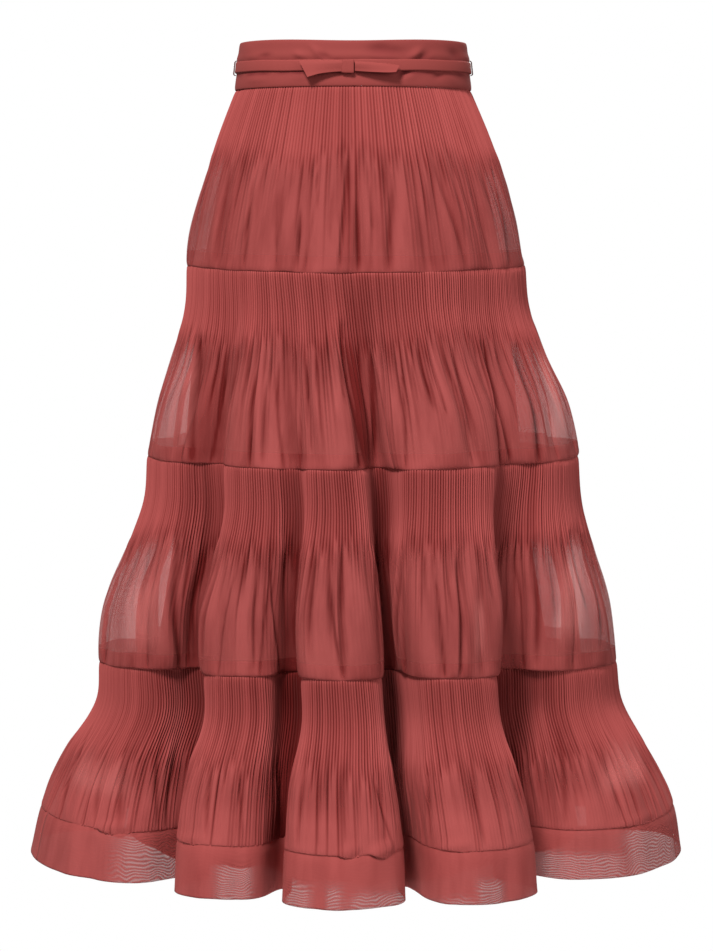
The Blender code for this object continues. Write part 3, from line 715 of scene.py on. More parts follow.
class Ring:
    """One tier's cloth all the way round: its points, and what each mask says of the cloth there."""

    def __init__(self, index):
        self.index = index
        self.tier = TIERS[index]
        self.counts = column_counts(index)
        self.lines = line_places(self.counts)
        self.shares = row_shares(index)
        column = np.arange(len(self.lines))
        self.pleats = (len(self.lines) - 1) // 2
        self.pleat = np.minimum(column // 2, self.pleats - 1)
        self.side = np.where(column % 2 == 1, 1.0, -1.0)
        self.plan_folds(np.random.default_rng(FIRST_SEED + index))
        rows = [self.row(share) for share in self.shares]
        self.points = np.array([points for points, _ in rows])
        self.masks = {key: np.array([masks[key] for _, masks in rows]) for key in rows[0][1]}
        steps = np.hypot(*np.diff(self.points[:, :, :2], axis=1).transpose(2, 0, 1))
        self.width = steps.sum(axis=1).max()
        drops = np.linalg.norm(np.diff(self.points, axis=0), axis=2)
        self.length = float(drops.sum(axis=0).mean())

    def plan_folds(self, random):
        """Settles where each pleat lets go, and where the soft folds below lie."""
        tier, count = self.tier, self.pleats
        self.strength = 1 + DEPTH_VARIES * random.uniform(-1, 1, count)
        # Painted shade along each pleat's inner fold, darker for deeper pleats.
        depths = random.choice(PLEAT_LINE_SHADES, count)
        self.pleat_line_shade = depths * (tier.zigzag / STRONGEST_ZIGZAG) ** 0.5
        ragged = RAGGED * random.normal(size=count) + RAGGED_WAVES * smooth_noise(random, count, 12)
        self.lets_go = tier.pressed_to + ragged
        self.eases_over = tier.eases_over * random.choice(EASE_LENGTHS, count, p=EASE_ODDS)
        self.uneven = smooth_noise(random, len(self.lines), 30)
        self.fold_sets = [SoftFolds(random, count, row) for row in FOLD_SETS if row.tier == self.index]

    def width_at(self, share):
        return run_along(self.index, share, LEFT_SIDE_SEAM, BACK_END, 900)[1][-1]

    def from_place(self, place):
        """How far each column lies from a place, in lobes, the short way round."""
        return (self.lines - place + TURN / 2) % TURN - TURN / 2

    def soft_folds(self, share):
        """How far the folds stand out, and the painted shade in their furrows."""
        column = np.arange(len(self.lines)) / 2
        sets = [folds.stand_out(column, share) for folds in self.fold_sets]
        return sum(out for out, _ in sets), np.clip(sum(furrow for _, furrow in sets), 0, 1)

    def seam_grooves(self, share):
        """The upright seams draw the cloth in: one at each side, and the zip's behind the top tier."""
        places = [LEFT_SIDE_SEAM, RIGHT_SIDE_SEAM] + [CENTRE_BACK] * (self.index == 0)
        lobe_width = self.width_at(share) / TURN
        away = [self.from_place(place) * lobe_width for place in places]
        return GROOVE_DEPTH * sum(bell(distance, 0, GROOVE_WIDTH) for distance in away)

    def creases(self, share):
        """How far the main creases stand out, and the painted shade along their troughs."""
        out = np.zeros(len(self.lines))
        furrow = np.zeros(len(self.lines))
        lobe_width = self.width_at(share) / TURN
        for crease in CREASES:
            if crease.tier != self.index or not crease.top < share < crease.foot:
                continue
            t = (share - crease.top) / (crease.foot - crease.top)
            distance = self.from_place(crease.place + crease.stray * t) * lobe_width / crease.width
            size = crease.out * sin(pi * t) ** 0.6
            steep = np.where(distance < 0, STEEP_SIDE, 1.0)
            trough = bell(steep * distance, 0, 1) - LIP_HEIGHT * bell(LIP_NARROWS * distance, LIP_AT, 1)
            out += size * (trough if crease.out < 0 else bell(distance, 0, 1))
            # Painted shade in a narrow line along each trough.
            furrow += np.clip(-size / CREASE_DARK_AT, 0, 1) * bell(STEEP_SIDE * distance, 0, 1)
        return out, np.clip(furrow, 0, 1)

    def openings(self, share):
        """How far the cloth is drawn thin, or lies closer below 0, and how much painted shade darkens it.
        """
        thin = np.zeros(len(self.lines))
        shade = np.zeros(len(self.lines))
        for opening in OPENINGS:
            if opening.tier != self.index:
                continue
            t = (share - opening.top) / (opening.foot - opening.top)
            away = np.abs(self.from_place(opening.place + opening.stray * t)) / opening.reach
            across = ease(*OPENING_EDGE, away + OPENING_RAGGED * self.uneven)
            here = across * ease(*OPENING_STARTS, t) * ease(*OPENING_ENDS, t)
            thin += opening.thin * here
            shade += opening.shade * here
        return np.clip(thin, -1, 1), np.clip(shade, 0, 2)

    def tucks(self, from_foot):
        """The lowest tier folds over its seam here and there: how far out and how far down."""
        out = np.zeros(len(self.lines))
        down = np.zeros(len(self.lines))
        lobe_width = self.width_at(self.shares[-1]) / TURN
        for tuck in TUCKS:
            distance = (self.lines - tuck.place) * lobe_width / tuck.reach
            here = np.exp(-(distance**4))
            slant = 1 + 0.5 * np.clip(distance, -1, 1)
            out += tuck.out * here * bell(from_foot, TUCK_BULGE[0] * slant, TUCK_BULGE[1])
            hang = bell(from_foot, *TUCK_HANG) * ease(0, TUCK_HINGE, from_foot)
            down += tuck.down * here * slant * hang
        return out, down

    def seam_relief(self, share, below_seam, from_foot):
        """How the seams shape the cloth: drawn in beside the stitches, swollen over the doubled foot."""
        drawn_in = DRAWN_IN * (fade(below_seam, DRAWN_BELOW) + fade(from_foot, DRAWN_ABOVE))
        drawn_in = drawn_in + self.seam_grooves(max(share, 0))
        if share < 0:
            drawn_in += ALLOWANCE_BACK - ALLOWANCE_LEAN * share * self.tier.height
        return FOOT_SWELL * (1 + self.uneven) * bell(from_foot, SWELL_HEIGHT, SWELL_REACH) - drawn_in

    def row(self, share):
        """One row of points round the ring, and its masks."""
        tier, hangs = self.tier, max(share, 0)
        below_seam = hangs * tier.height
        from_foot = (self.shares[-1] - share) * tier.height
        u = even_places(self.index, hangs, self.counts)
        held = 1 - ease(self.lets_go, self.lets_go + self.eases_over, share)[self.pleat]
        stitched = 1 - STITCHED_FLAT * fade(below_seam, STITCH_REACH)
        stays = ZIGZAG_LEFT + (1 - ZIGZAG_LEFT) * held
        zigzag = tier.zigzag * self.strength[self.pleat] * stays * stitched
        folds, fold_shading = self.soft_folds(share)
        creases, crease_shading = self.creases(share)
        sewn = (1 - SEWN_FLAT * fade(from_foot, SEWN_ABOVE)) * (1 - fade(below_seam, SEWN_BELOW))
        out = zigzag * self.side + (folds + creases) * sewn
        out += self.seam_relief(share, below_seam, from_foot)
        over, down = self.tucks(from_foot) if self.index == LAST_TIER else (0, 0)
        points = cloth_points(u, self.index, share, out + over)
        points[:, 2] -= down
        # Painted shade: pleat lines, the soft folds' furrows, crease troughs and the hollows between
        # lobes.
        fold_and_crease_shade = np.clip(tier.folds * fold_shading + CREASE_SHADE * crease_shading, 0, 1) * sewn
        furrow = np.maximum(self.pleat_line_shade[self.pleat] * np.clip(-self.side, 0, 1) * held, fold_and_crease_shade)
        furrow = np.clip(furrow + painted_hollow_shade(u, self.index, hangs), 0, 1)
        return points, self.masks_at(share, from_foot, furrow)

    def masks_at(self, share, from_foot, furrow):
        """How closely the cloth lies, how far above the foot, its painted shade and how thin, for its
        finish.
        """
        tier = self.tier
        opens = ease(self.lets_go - OPENS_BEFORE, self.lets_go + OPENS_BY, share)[self.pleat]
        still_closed = mix(tier.open_closed, tier.foot_closed, ease(*LOWER_HALF, share))
        pressed = 1 - opens * (1 - still_closed)
        drawn, shade = self.openings(share)
        thin = np.maximum(drawn, 0) * opens
        closer = CLOSER_SHUTS * np.maximum(-drawn, 0) * (1 - pressed)
        above_foot = NO_DOUBLED_FOOT if self.index == LAST_TIER else from_foot
        return {
            "pressed": pressed * (1 - THIN_OPENS * thin) + closer,
            "above_foot": np.full(len(self.lines), above_foot),
            "furrow": np.clip(tier.contrast * (furrow + OPENING_SHADE * shade) + tier.tone, 0, 1),
            "thin": thin,
        }

    def panel(self, name, start, end, *nodes):
        """The part of the ring between two places, as a finished sheet."""
        part, share_of_ring = columns_between(self.lines, start, end)
        masks = {key: values[:, part] for key, values in self.masks.items()}
        piece = cloth_sheet(name, self.points[:, part], CLOTH_THICK, masks, creased=True)
        fit_out(piece, pleated_cloth, nodes)


# ---------------------------------------------------------------- making meshes


def new_object(name, mesh):
    obj = bpy.data.objects.new(name, mesh)
    bpy.context.scene.collection.objects.link(obj)
    return obj


def shade_smooth(mesh):
    mesh.polygons.foreach_set("use_smooth", np.ones(len(mesh.polygons), bool))


def cloth_sheet(name, points, thick, masks, creased=False):
    """A grid of points made a thin closed shell. Rows run down; the given points are its outer face.

    Creased cloth keeps a crisp line down every column of points.
    """
    rows, columns = points.shape[:2]
    index = np.arange(rows * columns).reshape(rows, columns)
    quads = np.stack([index[:-1, :-1], index[1:, :-1], index[1:, 1:], index[:-1, 1:]], axis=-1)
    mesh = bpy.data.meshes.new(name)
    mesh.from_pydata(points.reshape(-1, 3).tolist(), [], quads.reshape(-1, 4).tolist())
    along = run_of(points[0])
    down = run_of(points[:, columns // 2])
    corner = quads.reshape(-1)
    flat = np.stack([along[corner % columns], -down[corner // columns]], axis=1)
    mesh.uv_layers.new(name="cloth").data.foreach_set("uv", flat.ravel())
    for key, values in masks.items():
        layer = mesh.attributes.new(key, "FLOAT", "POINT")
        layer.data.foreach_set("value", np.ascontiguousarray(values, float).ravel())
    shade_smooth(mesh)
    if creased:
        ends = np.empty(len(mesh.edges) * 2, np.int32)
        mesh.edges.foreach_get("vertices", ends)
        ends = ends.reshape(-1, 2)
        layer = mesh.attributes.new("sharp_edge", "BOOLEAN", "EDGE")
        layer.data.foreach_set("value", np.abs(ends[:, 0] - ends[:, 1]) == columns)
    obj = new_object(name, mesh)
    wall = obj.modifiers.new("wall", "SOLIDIFY")
    wall.thickness = thick
    wall.offset = -1
    apply_modifiers(obj)
    return obj


def apply_modifiers(obj):
    for other in list(bpy.context.selected_objects):
        other.select_set(False)
    bpy.context.view_layer.objects.active = obj
    obj.select_set(True)
    for modifier in list(obj.modifiers):
        bpy.ops.object.modifier_apply(modifier=modifier.name)
    obj.select_set(False)


def fit_out(piece, material, nodes=(), body="skirt"):
    """Gives a piece its finish, its body and the solids that it stands for."""
    piece.data.materials.clear()
    piece.data.materials.append(material)
    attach(piece, body)
    if nodes:
        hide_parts(*nodes)


# ---------------------------------------------------------------- finishes

MAIN_RED = (0.498, 0.104, 0.096, 1)
# The deep colour of the cloud-like dyeing, and of painted shade.
SHADE_AND_DEEP_DYE_RED = (0.150, 0.011, 0.010, 1)
# Painted light: the colour of light shining through cloth drawn thin.
BACKLIT_THIN_RED = (0.85, 0.24, 0.22, 1)
SHEEN_RED = (0.9, 0.35, 0.3, 1)
HEM_RED = (0.392, 0.074, 0.068, 1)
LINING_RED = (0.30, 0.052, 0.046, 1)
BAND_RED = (0.258, 0.046, 0.041, 1)
# The waistband's deep colour, for its cloudy dyeing and its painted shade.
BAND_SHADE_AND_DEEP_DYE_RED = (0.12, 0.012, 0.014, 1)
BELT_RED = (0.276, 0.051, 0.045, 1)
LOOP_RED = (0.11, 0.022, 0.021, 1)
ZIP_TAPE_RED = (0.25, 0.05, 0.045, 1)
ZIP_RED = (0.24, 0.045, 0.042, 1)

# Every cloth: the scales of its cloudy dyeing and its threads, how strongly the dyeing varies and the
# painted shade deepens it, and its fine relief. Streaks have a scale across and down the cloth, and show
# between two values.
CLOUD_SCALE = 14
THREAD_SCALE = 900
CLOUD_STRENGTH = 0.18
PAINTED_SHADE_STRENGTH = 0.74
RELIEF_STRENGTH = 0.15
RELIEF_DEPTH = 0.0002
STREAK_SCALE = (62, 9, 1)
STREAKS_BETWEEN = (0.42, 0.78)

# Pleated cloth: its opacity from open to pressed, how strongly its streaks show from open to pressed, how
# dense its doubled foot is, and how each deepens or clears the colour, or lightens it with painted
# light that shines through cloth drawn thin.
OPACITY = (0.48, 0.95)
STREAKS_SHOW = (0.48, 0.06)
DOUBLED_DENSITY = 0.55
DOUBLED_DEEPENS = 0.08
FOOT_EDGE = 0.0004
DENSE_DEEPENS = (-0.55, 0.67)
THIN_CLEARS = -0.08
THIN_BACKLIGHT = 0.60

# The hem band's cloth: how far light comes through where its layers part, and its watered pattern.
HEM_OPACITY = 0.95
HEM_CLEARS = (-0.38, -0.10)
HEM_PARTED = 0.12
HEM_STREAKS = 0.30
WATER_SCALE = 26
WATER_PITCH = 0.0030
WATER_SWIRL = 60

Finish = namedtuple("Finish", "material tree surface dye")


def new_material(name):
    material = bpy.data.materials.new(name)
    material.use_nodes = True
    return material, material.node_tree, material.node_tree.nodes["Principled BSDF"]


def connect(tree, made, inputs):
    """Sets each named or numbered input to its value, or links it to the socket that feeds it."""
    for key, value in inputs.items():
        if isinstance(value, bpy.types.NodeSocket):
            tree.links.new(value, made.inputs[key])
        else:
            made.inputs[key].default_value = value


def node(tree, kind, inputs=None, **settings):
    """Adds a node with these settings, and then its inputs."""
    made = tree.nodes.new(kind)
    for key, value in settings.items():
        setattr(made, key, value)
    connect(tree, made, inputs or {})
    return made


def calculate(tree, operation, *values, clamp=False):
    """A sum of values or sockets. MULTIPLY_ADD is the first times the second, plus the third."""
    inputs = dict(enumerate(values))
    return node(tree, "ShaderNodeMath", inputs, operation=operation, use_clamp=clamp).outputs[0]


def spread_over(tree, value, given, wanted):
    """Carries a value from one range over to another."""
    ends = {"From Min": given[0], "From Max": given[1], "To Min": wanted[0], "To Max": wanted[1]}
    return node(tree, "ShaderNodeMapRange", {"Value": value, **ends}).outputs["Result"]


def blend(tree, share, first, second):
    inputs = {"Factor": share, "A": first, "B": second}
    return node(tree, "ShaderNodeMix", inputs, data_type="RGBA").outputs["Result"]


def noise(tree, place, scale, detail, roughness=0.5):
    inputs = {"Vector": place, "Scale": scale, "Detail": detail, "Roughness": roughness}
    return node(tree, "ShaderNodeTexNoise", inputs).outputs["Fac"]


def mask(tree, name):
    return node(tree, "ShaderNodeAttribute", attribute_name=name).outputs["Fac"]


# The mask of painted shade, at its strength.
def painted_shade_depth(tree):
    return calculate(tree, "MULTIPLY", mask(tree, "furrow"), PAINTED_SHADE_STRENGTH)


def cloth_colour_group():
    """Colour and fine relief from place and masks: cloudy dyeing, deepened by painted shade and layering.
    """
    group = bpy.data.node_groups.new("dyed and shaded cloth", "ShaderNodeTree")
    for label, kind, way in (
        ("Main Colour", "NodeSocketColor", "INPUT"),
        ("Deep Colour", "NodeSocketColor", "INPUT"),
        ("Deepening And Painted Shade", "NodeSocketFloat", "INPUT"),
        ("Unevenness", "NodeSocketFloat", "INPUT"),
        ("Colour", "NodeSocketColor", "OUTPUT"),
        ("Relief", "NodeSocketFloat", "OUTPUT"),
    ):
        group.interface.new_socket(label, in_out=way, socket_type=kind)
    given = node(group, "NodeGroupInput").outputs
    place = node(group, "ShaderNodeTexCoord").outputs["Object"]
    clouds = calculate(group, "MULTIPLY", noise(group, place, CLOUD_SCALE, 3), given["Unevenness"])
    # The dyeing's clouds and the painted shade deepen the colour together.
    depth = calculate(group, "ADD", clouds, given["Deepening And Painted Shade"], clamp=True)
    colour = blend(group, depth, given["Main Colour"], given["Deep Colour"])
    node(group, "NodeGroupOutput", {"Colour": colour, "Relief": noise(group, place, THREAD_SCALE, 2)})
    return group


DYE_AND_PAINTED_SHADE = cloth_colour_group()


def dyed_and_shaded_cloth(name, main=MAIN_RED, deep=SHADE_AND_DEEP_DYE_RED, roughness=0.8, sheen=0.06):
    material, tree, surface = new_material(name)
    colours = {"Main Colour": main, "Deep Colour": deep, "Unevenness": CLOUD_STRENGTH}
    dye_and_shade = node(tree, "ShaderNodeGroup", colours, node_tree=DYE_AND_PAINTED_SHADE)
    relief = {"Height": dye_and_shade.outputs["Relief"], "Strength": RELIEF_STRENGTH, "Distance": RELIEF_DEPTH}
    looks = {
        "Base Color": dye_and_shade.outputs["Colour"],
        "Normal": node(tree, "ShaderNodeBump", relief).outputs["Normal"],
        "Roughness": roughness,
        "Sheen Weight": sheen,
        "Sheen Roughness": 0.5,
        "Sheen Tint": SHEEN_RED,
        "Specular IOR Level": 0.12,
    }
    connect(tree, surface, looks)
    return Finish(material, tree, surface, dye_and_shade)


def streaks_down_the_cloth(tree):
    """Long soft patches where the cloth lies a little closer, from 0 to 1, in its own coordinates."""
    place = node(tree, "ShaderNodeUVMap", uv_map="cloth").outputs["UV"]
    inputs = {0: place, 1: STREAK_SCALE}
    stretched = node(tree, "ShaderNodeVectorMath", inputs, operation="MULTIPLY").outputs["Vector"]
    return spread_over(tree, noise(tree, stretched, 1, 3, roughness=0.6), STREAKS_BETWEEN, (0, 1))


def pleated_cloth_material():
    """Sheer cloth: nearly solid where it is pressed in pleats or doubled, see-through where it opens."""
    material, tree, surface, dye_and_shade = dyed_and_shaded_cloth("pleated_cloth")
    pressed = mask(tree, "pressed")
    thin = mask(tree, "thin")
    foot = (DOUBLED_FOOT + FOOT_EDGE, DOUBLED_FOOT - FOOT_EDGE)
    doubled = spread_over(tree, mask(tree, "above_foot"), foot, (0, DOUBLED_DENSITY))
    # Painted shade from its mask, with the deeper colour of the doubled foot.
    furrow = calculate(tree, "MULTIPLY_ADD", doubled, DOUBLED_DEEPENS, painted_shade_depth(tree))
    streaks_show = spread_over(tree, pressed, (0, 1), STREAKS_SHOW)
    streaked = calculate(tree, "MULTIPLY_ADD", streaks_down_the_cloth(tree), streaks_show, furrow)
    dense = calculate(tree, "MAXIMUM", pressed, doubled)
    deepens = calculate(tree, "MULTIPLY_ADD", dense, *DENSE_DEEPENS)
    layered = calculate(tree, "MULTIPLY_ADD", dense, deepens, streaked)
    connect(tree, dye_and_shade, {"Deepening And Painted Shade": layered})
    opacity = spread_over(tree, dense, (0, 1), OPACITY)
    clearer = calculate(tree, "MULTIPLY_ADD", thin, THIN_CLEARS, opacity)
    # Painted light: thin cloth takes a lighter red, as if lit through from behind.
    painted_backlight = calculate(tree, "MULTIPLY", thin, THIN_BACKLIGHT)
    backlit_colour = blend(tree, painted_backlight, dye_and_shade.outputs["Colour"], BACKLIT_THIN_RED)
    connect(tree, surface, {"Alpha": clearer, "Base Color": backlit_colour})
    return material


def hem_cloth_material():
    """Two layers of sheer cloth, whose threads beat against each other in a watered pattern."""
    material, tree, surface, dye_and_shade = dyed_and_shaded_cloth("hem_cloth", main=HEM_RED)
    place = node(tree, "ShaderNodeTexCoord").outputs["Object"]
    height = node(tree, "ShaderNodeSeparateXYZ", {"Vector": place}).outputs["Z"]
    level = calculate(tree, "MULTIPLY", height, 2 * pi / WATER_PITCH)
    waver = calculate(tree, "MULTIPLY_ADD", noise(tree, place, WATER_SCALE, 2), WATER_SWIRL, level)
    through = spread_over(tree, calculate(tree, "SINE", waver), (-1, 1), HEM_CLEARS)
    parted = calculate(tree, "ADD", mask(tree, "parted"), HEM_PARTED, clamp=True)
    opacity = calculate(tree, "MULTIPLY_ADD", through, parted, HEM_OPACITY)
    streaks = calculate(tree, "MULTIPLY", streaks_down_the_cloth(tree), HEM_STREAKS)
    connect(tree, surface, {"Alpha": opacity})
    connect(tree, dye_and_shade, {"Deepening And Painted Shade": streaks})
    return material


def band_cloth_material():
    """The waistband's cloth, with painted shade in its creases and along the belt."""
    material, tree, _, dye_and_shade = dyed_and_shaded_cloth("band_cloth", main=BAND_RED, deep=BAND_SHADE_AND_DEEP_DYE_RED)
    connect(tree, dye_and_shade, {"Deepening And Painted Shade": painted_shade_depth(tree)})
    return material


pleated_cloth = pleated_cloth_material()
hem_cloth = hem_cloth_material()
lining_cloth = dyed_and_shaded_cloth("lining_cloth", main=LINING_RED, roughness=0.6).material
band_cloth = band_cloth_material()
belt_cloth = dyed_and_shaded_cloth("belt_cloth", main=BELT_RED).material
loop_thread = dyed_and_shaded_cloth("loop_thread", main=LOOP_RED).material
zip_tape_cloth = dyed_and_shaded_cloth("zip_tape_cloth", main=ZIP_TAPE_RED, roughness=0.7).material
zip_paint = dyed_and_shaded_cloth("zip_paint", main=ZIP_RED, roughness=0.35, sheen=0.0).material

# ---------------------------------------------------------------- tiers, hem band and lining

# The hem band: how many columns of pleated cloth there are to one of its own, the metres of its cloth to
# a lobe, how far it starts inside the tier's cloth and steps out below the seam, and its small waves. Its
# partings fade out to each side and below their tops, both a little ragged.
HEM_SEED = 7
HEM_COLUMNS = 3.2
HEM_CLOTH_PER_LOBE = 0.30
HEM_TUCKED_IN = 0.0010
HEM_INSIDE = 0.0004
HEM_STEPS_OUT = 0.0008
HEM_WAVE = 0.0010
HEM_RIPPLE = 0.0005
PARTING_EDGE = (1.25, 0.50)
PARTING_RAGGED = (0.25, 0.10)
PARTING_STARTS = (-0.10, 0.20)

# The lining: how much narrower it is than a straight piece of its foot's width, how far it waves and
# ripples towards its foot, and how far its front stands out there.
LINING_ROWS = 30
LINING_COLUMNS = 120
LINING_WAVE = 0.004
LINING_RIPPLE = 0.0015
LINING_FRONT = 0.018


def make_tiers():
    for index, tier in enumerate(TIERS):
        ring = Ring(index)
        ring.panel(f"{tier.name}_front_cloth", LEFT_SIDE_SEAM, RIGHT_SIDE_SEAM, f"{tier.name}_front")
        if index == 0:
            ring.panel("tier1_back_right_cloth", RIGHT_SIDE_SEAM, CENTRE_BACK, "tier1_back_right")
            ring.panel("tier1_back_left_cloth", CENTRE_BACK, BACK_END, "tier1_back_left")
        else:
            ring.panel(f"{tier.name}_back_cloth", RIGHT_SIDE_SEAM, BACK_END, f"{tier.name}_back")


def hem_row(share, down, counts, lines, waves):
    """One row of the hem band, `down` from 0 at its seam to 1 at its foot."""
    out = HEM_STEPS_OUT * ease(0.0, 0.1, down) - HEM_INSIDE - HEM_TUCKED_IN * (down < 0)
    out = out + waves * (0.3 + 0.7 * down)
    for fold in HEM_FOLDS:
        distance = (lines - fold.place) * HEM_CLOTH_PER_LOBE
        out = out + fold.out * ease(-0.1, 0.5, down) * bell(distance, 0, fold.width)
    return cloth_points(even_places(LAST_TIER, share, counts), LAST_TIER, share, out)


def hem_partings(down, lines, uneven):
    """Where the band's two layers part, from 0 to 1."""
    parted = np.zeros(len(lines))
    for parting in PARTINGS:
        away = np.abs(lines - parting.place) / parting.reach + PARTING_RAGGED[0] * uneven
        below_top = down - parting.top - PARTING_RAGGED[1] * uneven
        parted = np.maximum(parted, ease(*PARTING_EDGE, away) * ease(*PARTING_STARTS, below_top))
    return parted


def make_hem_band():
    counts = [max(6, round(count / HEM_COLUMNS)) for count in column_counts(LAST_TIER)]
    lines = line_places(counts)
    random = np.random.default_rng(HEM_SEED)
    waves = HEM_WAVE * smooth_noise(random, len(lines), 9)
    waves += HEM_RIPPLE * smooth_noise(random, len(lines), 4)
    uneven = smooth_noise(random, len(lines), 5)
    rows = [(HEM_TOP + HEM_BAND_SHARE * down, down) for down in HEM_ROWS]
    points = np.array([hem_row(share, down, counts, lines, waves) for share, down in rows])
    parted = np.array([hem_partings(down, lines, uneven) for down in HEM_ROWS])
    for name, start, end in (
        ("front", LEFT_SIDE_SEAM, RIGHT_SIDE_SEAM),
        ("back", RIGHT_SIDE_SEAM, BACK_END),
    ):
        part, share_of_ring = columns_between(lines, start, end)
        masks = {"parted": parted[:, part]}
        piece = cloth_sheet(f"hem_band_{name}_cloth", points[:, part], DOUBLE_THICK, masks)
        fit_out(piece, hem_cloth, (f"hem_band_{name}",))


def lining_row(angle, height):
    """One row of the lining, which waves and hangs a little unevenly towards its foot."""
    outlines = [ring[1:] for ring in LINING]
    half_width, half_depth, drop = read_smoothly([-ring.height for ring in LINING], outlines, -height)
    down = (LINING[0].height - height) / (LINING[0].height - LINING[-1].height)
    front = np.maximum(0, np.cos(angle))
    wave = LINING_WAVE * down * (np.sin(11 * angle + 0.6) + 0.5 * np.sin(17 * angle) - 1.5)
    radius = plain_outline(angle, half_width, half_depth) + wave + LINING_FRONT * down**3 * front
    hang = np.interp(np.degrees(angle), *zip(*LINING_FOOT)) + LINING_RIPPLE * np.sin(19 * angle)
    level = height - 0.4 * drop * front - hang * down**3
    return np.stack([radius * np.sin(angle), -radius * np.cos(angle), level], 1)


def make_lining():
    heights = np.linspace(LINING[0].height, LINING[-1].height, LINING_ROWS)
    for name, first in (("front", -90), ("back", 90)):
        angle = np.radians(np.linspace(first, first + 180, LINING_COLUMNS + 1))
        points = np.array([lining_row(angle, height) for height in heights])
        piece = cloth_sheet(f"lining_{name}_cloth", points, CLOTH_THICK, {})
        fit_out(piece, lining_cloth, (f"lining_{name}",))


make_tiers()
make_hem_band()
make_lining()

# ---------------------------------------------------------------- waistband and belt

BELT_OUT = BELT_STAND_OFF + BELT_THICK
SIDE_LIFT = 0.0026
QUARTER_LIFT = 0.0008
# Waistband creases this deep take their full painted shade.
CREASE_FULLY_DARK = 0.0036

# How far the band's cloth swells above and below the belt, is nipped in under it, and is drawn in beside
# the stitches. The reach of each is a share of the band's height, and of the zip's seam in degrees.
SWELL_ABOVE_BELT = 0.0010
SWELL_BELOW_BELT = 0.0004
BELT_NIPS = 0.0004
TOP_DRAWN_IN = 0.0009
TOP_REACH = 0.025
FOOT_DRAWN_IN = 0.0007
FOOT_REACH = 0.02
ZIP_DRAWN_IN = 0.0007
ZIP_REACH = 0.6


def belt_rise(drop):
    return 0.5 - drop / BAND_HEIGHT


BELT_TOP = belt_rise(BELT_DROP - BELT_WIDTH / 2)
BELT_FOOT = belt_rise(BELT_DROP + BELT_WIDTH / 2)


def band_point(angle, rise, out):
    """A point on the waistband's outer face, `rise` from 0 at its foot to 1 at its top."""
    half_width = mix(BAND_FOOT[0], BAND_TOP[0], rise) + out
    half_depth = mix(BAND_FOOT[1], BAND_TOP[1], rise) + out
    radius = plain_outline(angle, half_width, half_depth)
    height = np.full_like(radius, BAND_HEIGHT * (rise - 0.5))
    return np.stack([radius * np.sin(angle), -radius * np.cos(angle), height], -1)


def degrees_from(degrees, place):
    """How far round the waistband each place lies from another, the short way."""
    return (degrees - place + 180) % 360 - 180


def crease_marks(degrees, rise):
    """Each soft crease of the waistband, and how strongly it marks each place at this rise."""
    for crease in BAND_CREASES:
        up = rise - crease.rise
        across = (degrees_from(degrees, crease.angle) - crease.lean * up) / crease.spread
        yield crease, bell(across, 0, 1) * bell(up, 0, crease.tall)


def band_relief(degrees, rise):
    """The belt nips the band in, and the cloth swells above and below it and creases a little."""
    turn = np.radians(degrees)
    swell = 1 + 0.4 * np.sin(3 * turn + 1) * np.sin(7 * turn)
    out = SWELL_ABOVE_BELT * swell * bell(rise, BELT_TOP + 0.09, 0.09)
    out += SWELL_BELOW_BELT * (2 - swell) * bell(rise, BELT_FOOT - 0.22, 0.12)
    out -= BELT_NIPS * bell(rise, (BELT_FOOT + BELT_TOP) / 2, 0.10)
    out -= TOP_DRAWN_IN * fade(1 - rise, TOP_REACH) + FOOT_DRAWN_IN * fade(rise, FOOT_REACH)
    out += sum(crease.out * mark for crease, mark in crease_marks(degrees, rise))
    return out - ZIP_DRAWN_IN * bell(degrees_from(degrees, 180), 0, ZIP_REACH)


def band_shade(degrees, rise):
    """Painted shade in the waistband's creases and along the belt's edges, for its shade mask."""
    turn = np.radians(degrees)
    # Painted shade just under the belt's foot, and fainter just over its top.
    along_belt = bell(rise, BELT_FOOT - 0.03, 0.035) + 0.5 * bell(rise, BELT_TOP + 0.02, 0.03)
    shade = along_belt * (0.55 + 0.45 * np.sin(9 * turn) * np.sin(23 * turn + 2))
    marks = crease_marks(degrees, rise)
    shade = shade + sum(max(-crease.out, 0) / CREASE_FULLY_DARK * mark for crease, mark in marks)
    return np.clip(shade, 0, 1)


def band_row(degrees, rise):
    """One row of the waistband, lifted a little towards the sides."""
    turn = np.radians(degrees)
    row = band_point(turn, rise, band_relief(degrees, rise))
    row[:, 2] += (QUARTER_LIFT * np.sin(2 * turn) ** 2 + SIDE_LIFT * np.sin(turn) ** 2) * rise
    return row


def make_waistband():
    near_top = [1.0, 0.99, 0.975, 0.95]
    near_foot = [0.05, 0.025, 0.01, 0.0033]
    rises = np.concatenate([near_top, np.linspace(0.92, 0.08, 30), near_foot])
    for name, first, last, columns in (
        ("waistband_front", -90, 90, 200),
        ("waistband_back_right", 90, 180, 100),
        ("waistband_back_left", 180, 270, 100),
    ):
        degrees = np.linspace(first, last, columns + 1)
        points = np.array([band_row(degrees, rise) for rise in rises])
        masks = {"furrow": np.array([band_shade(degrees, rise) for rise in rises])}
        piece = cloth_sheet(f"{name}_cloth", points, BAND_WALL, masks)
        fit_out(piece, band_cloth, (name,))


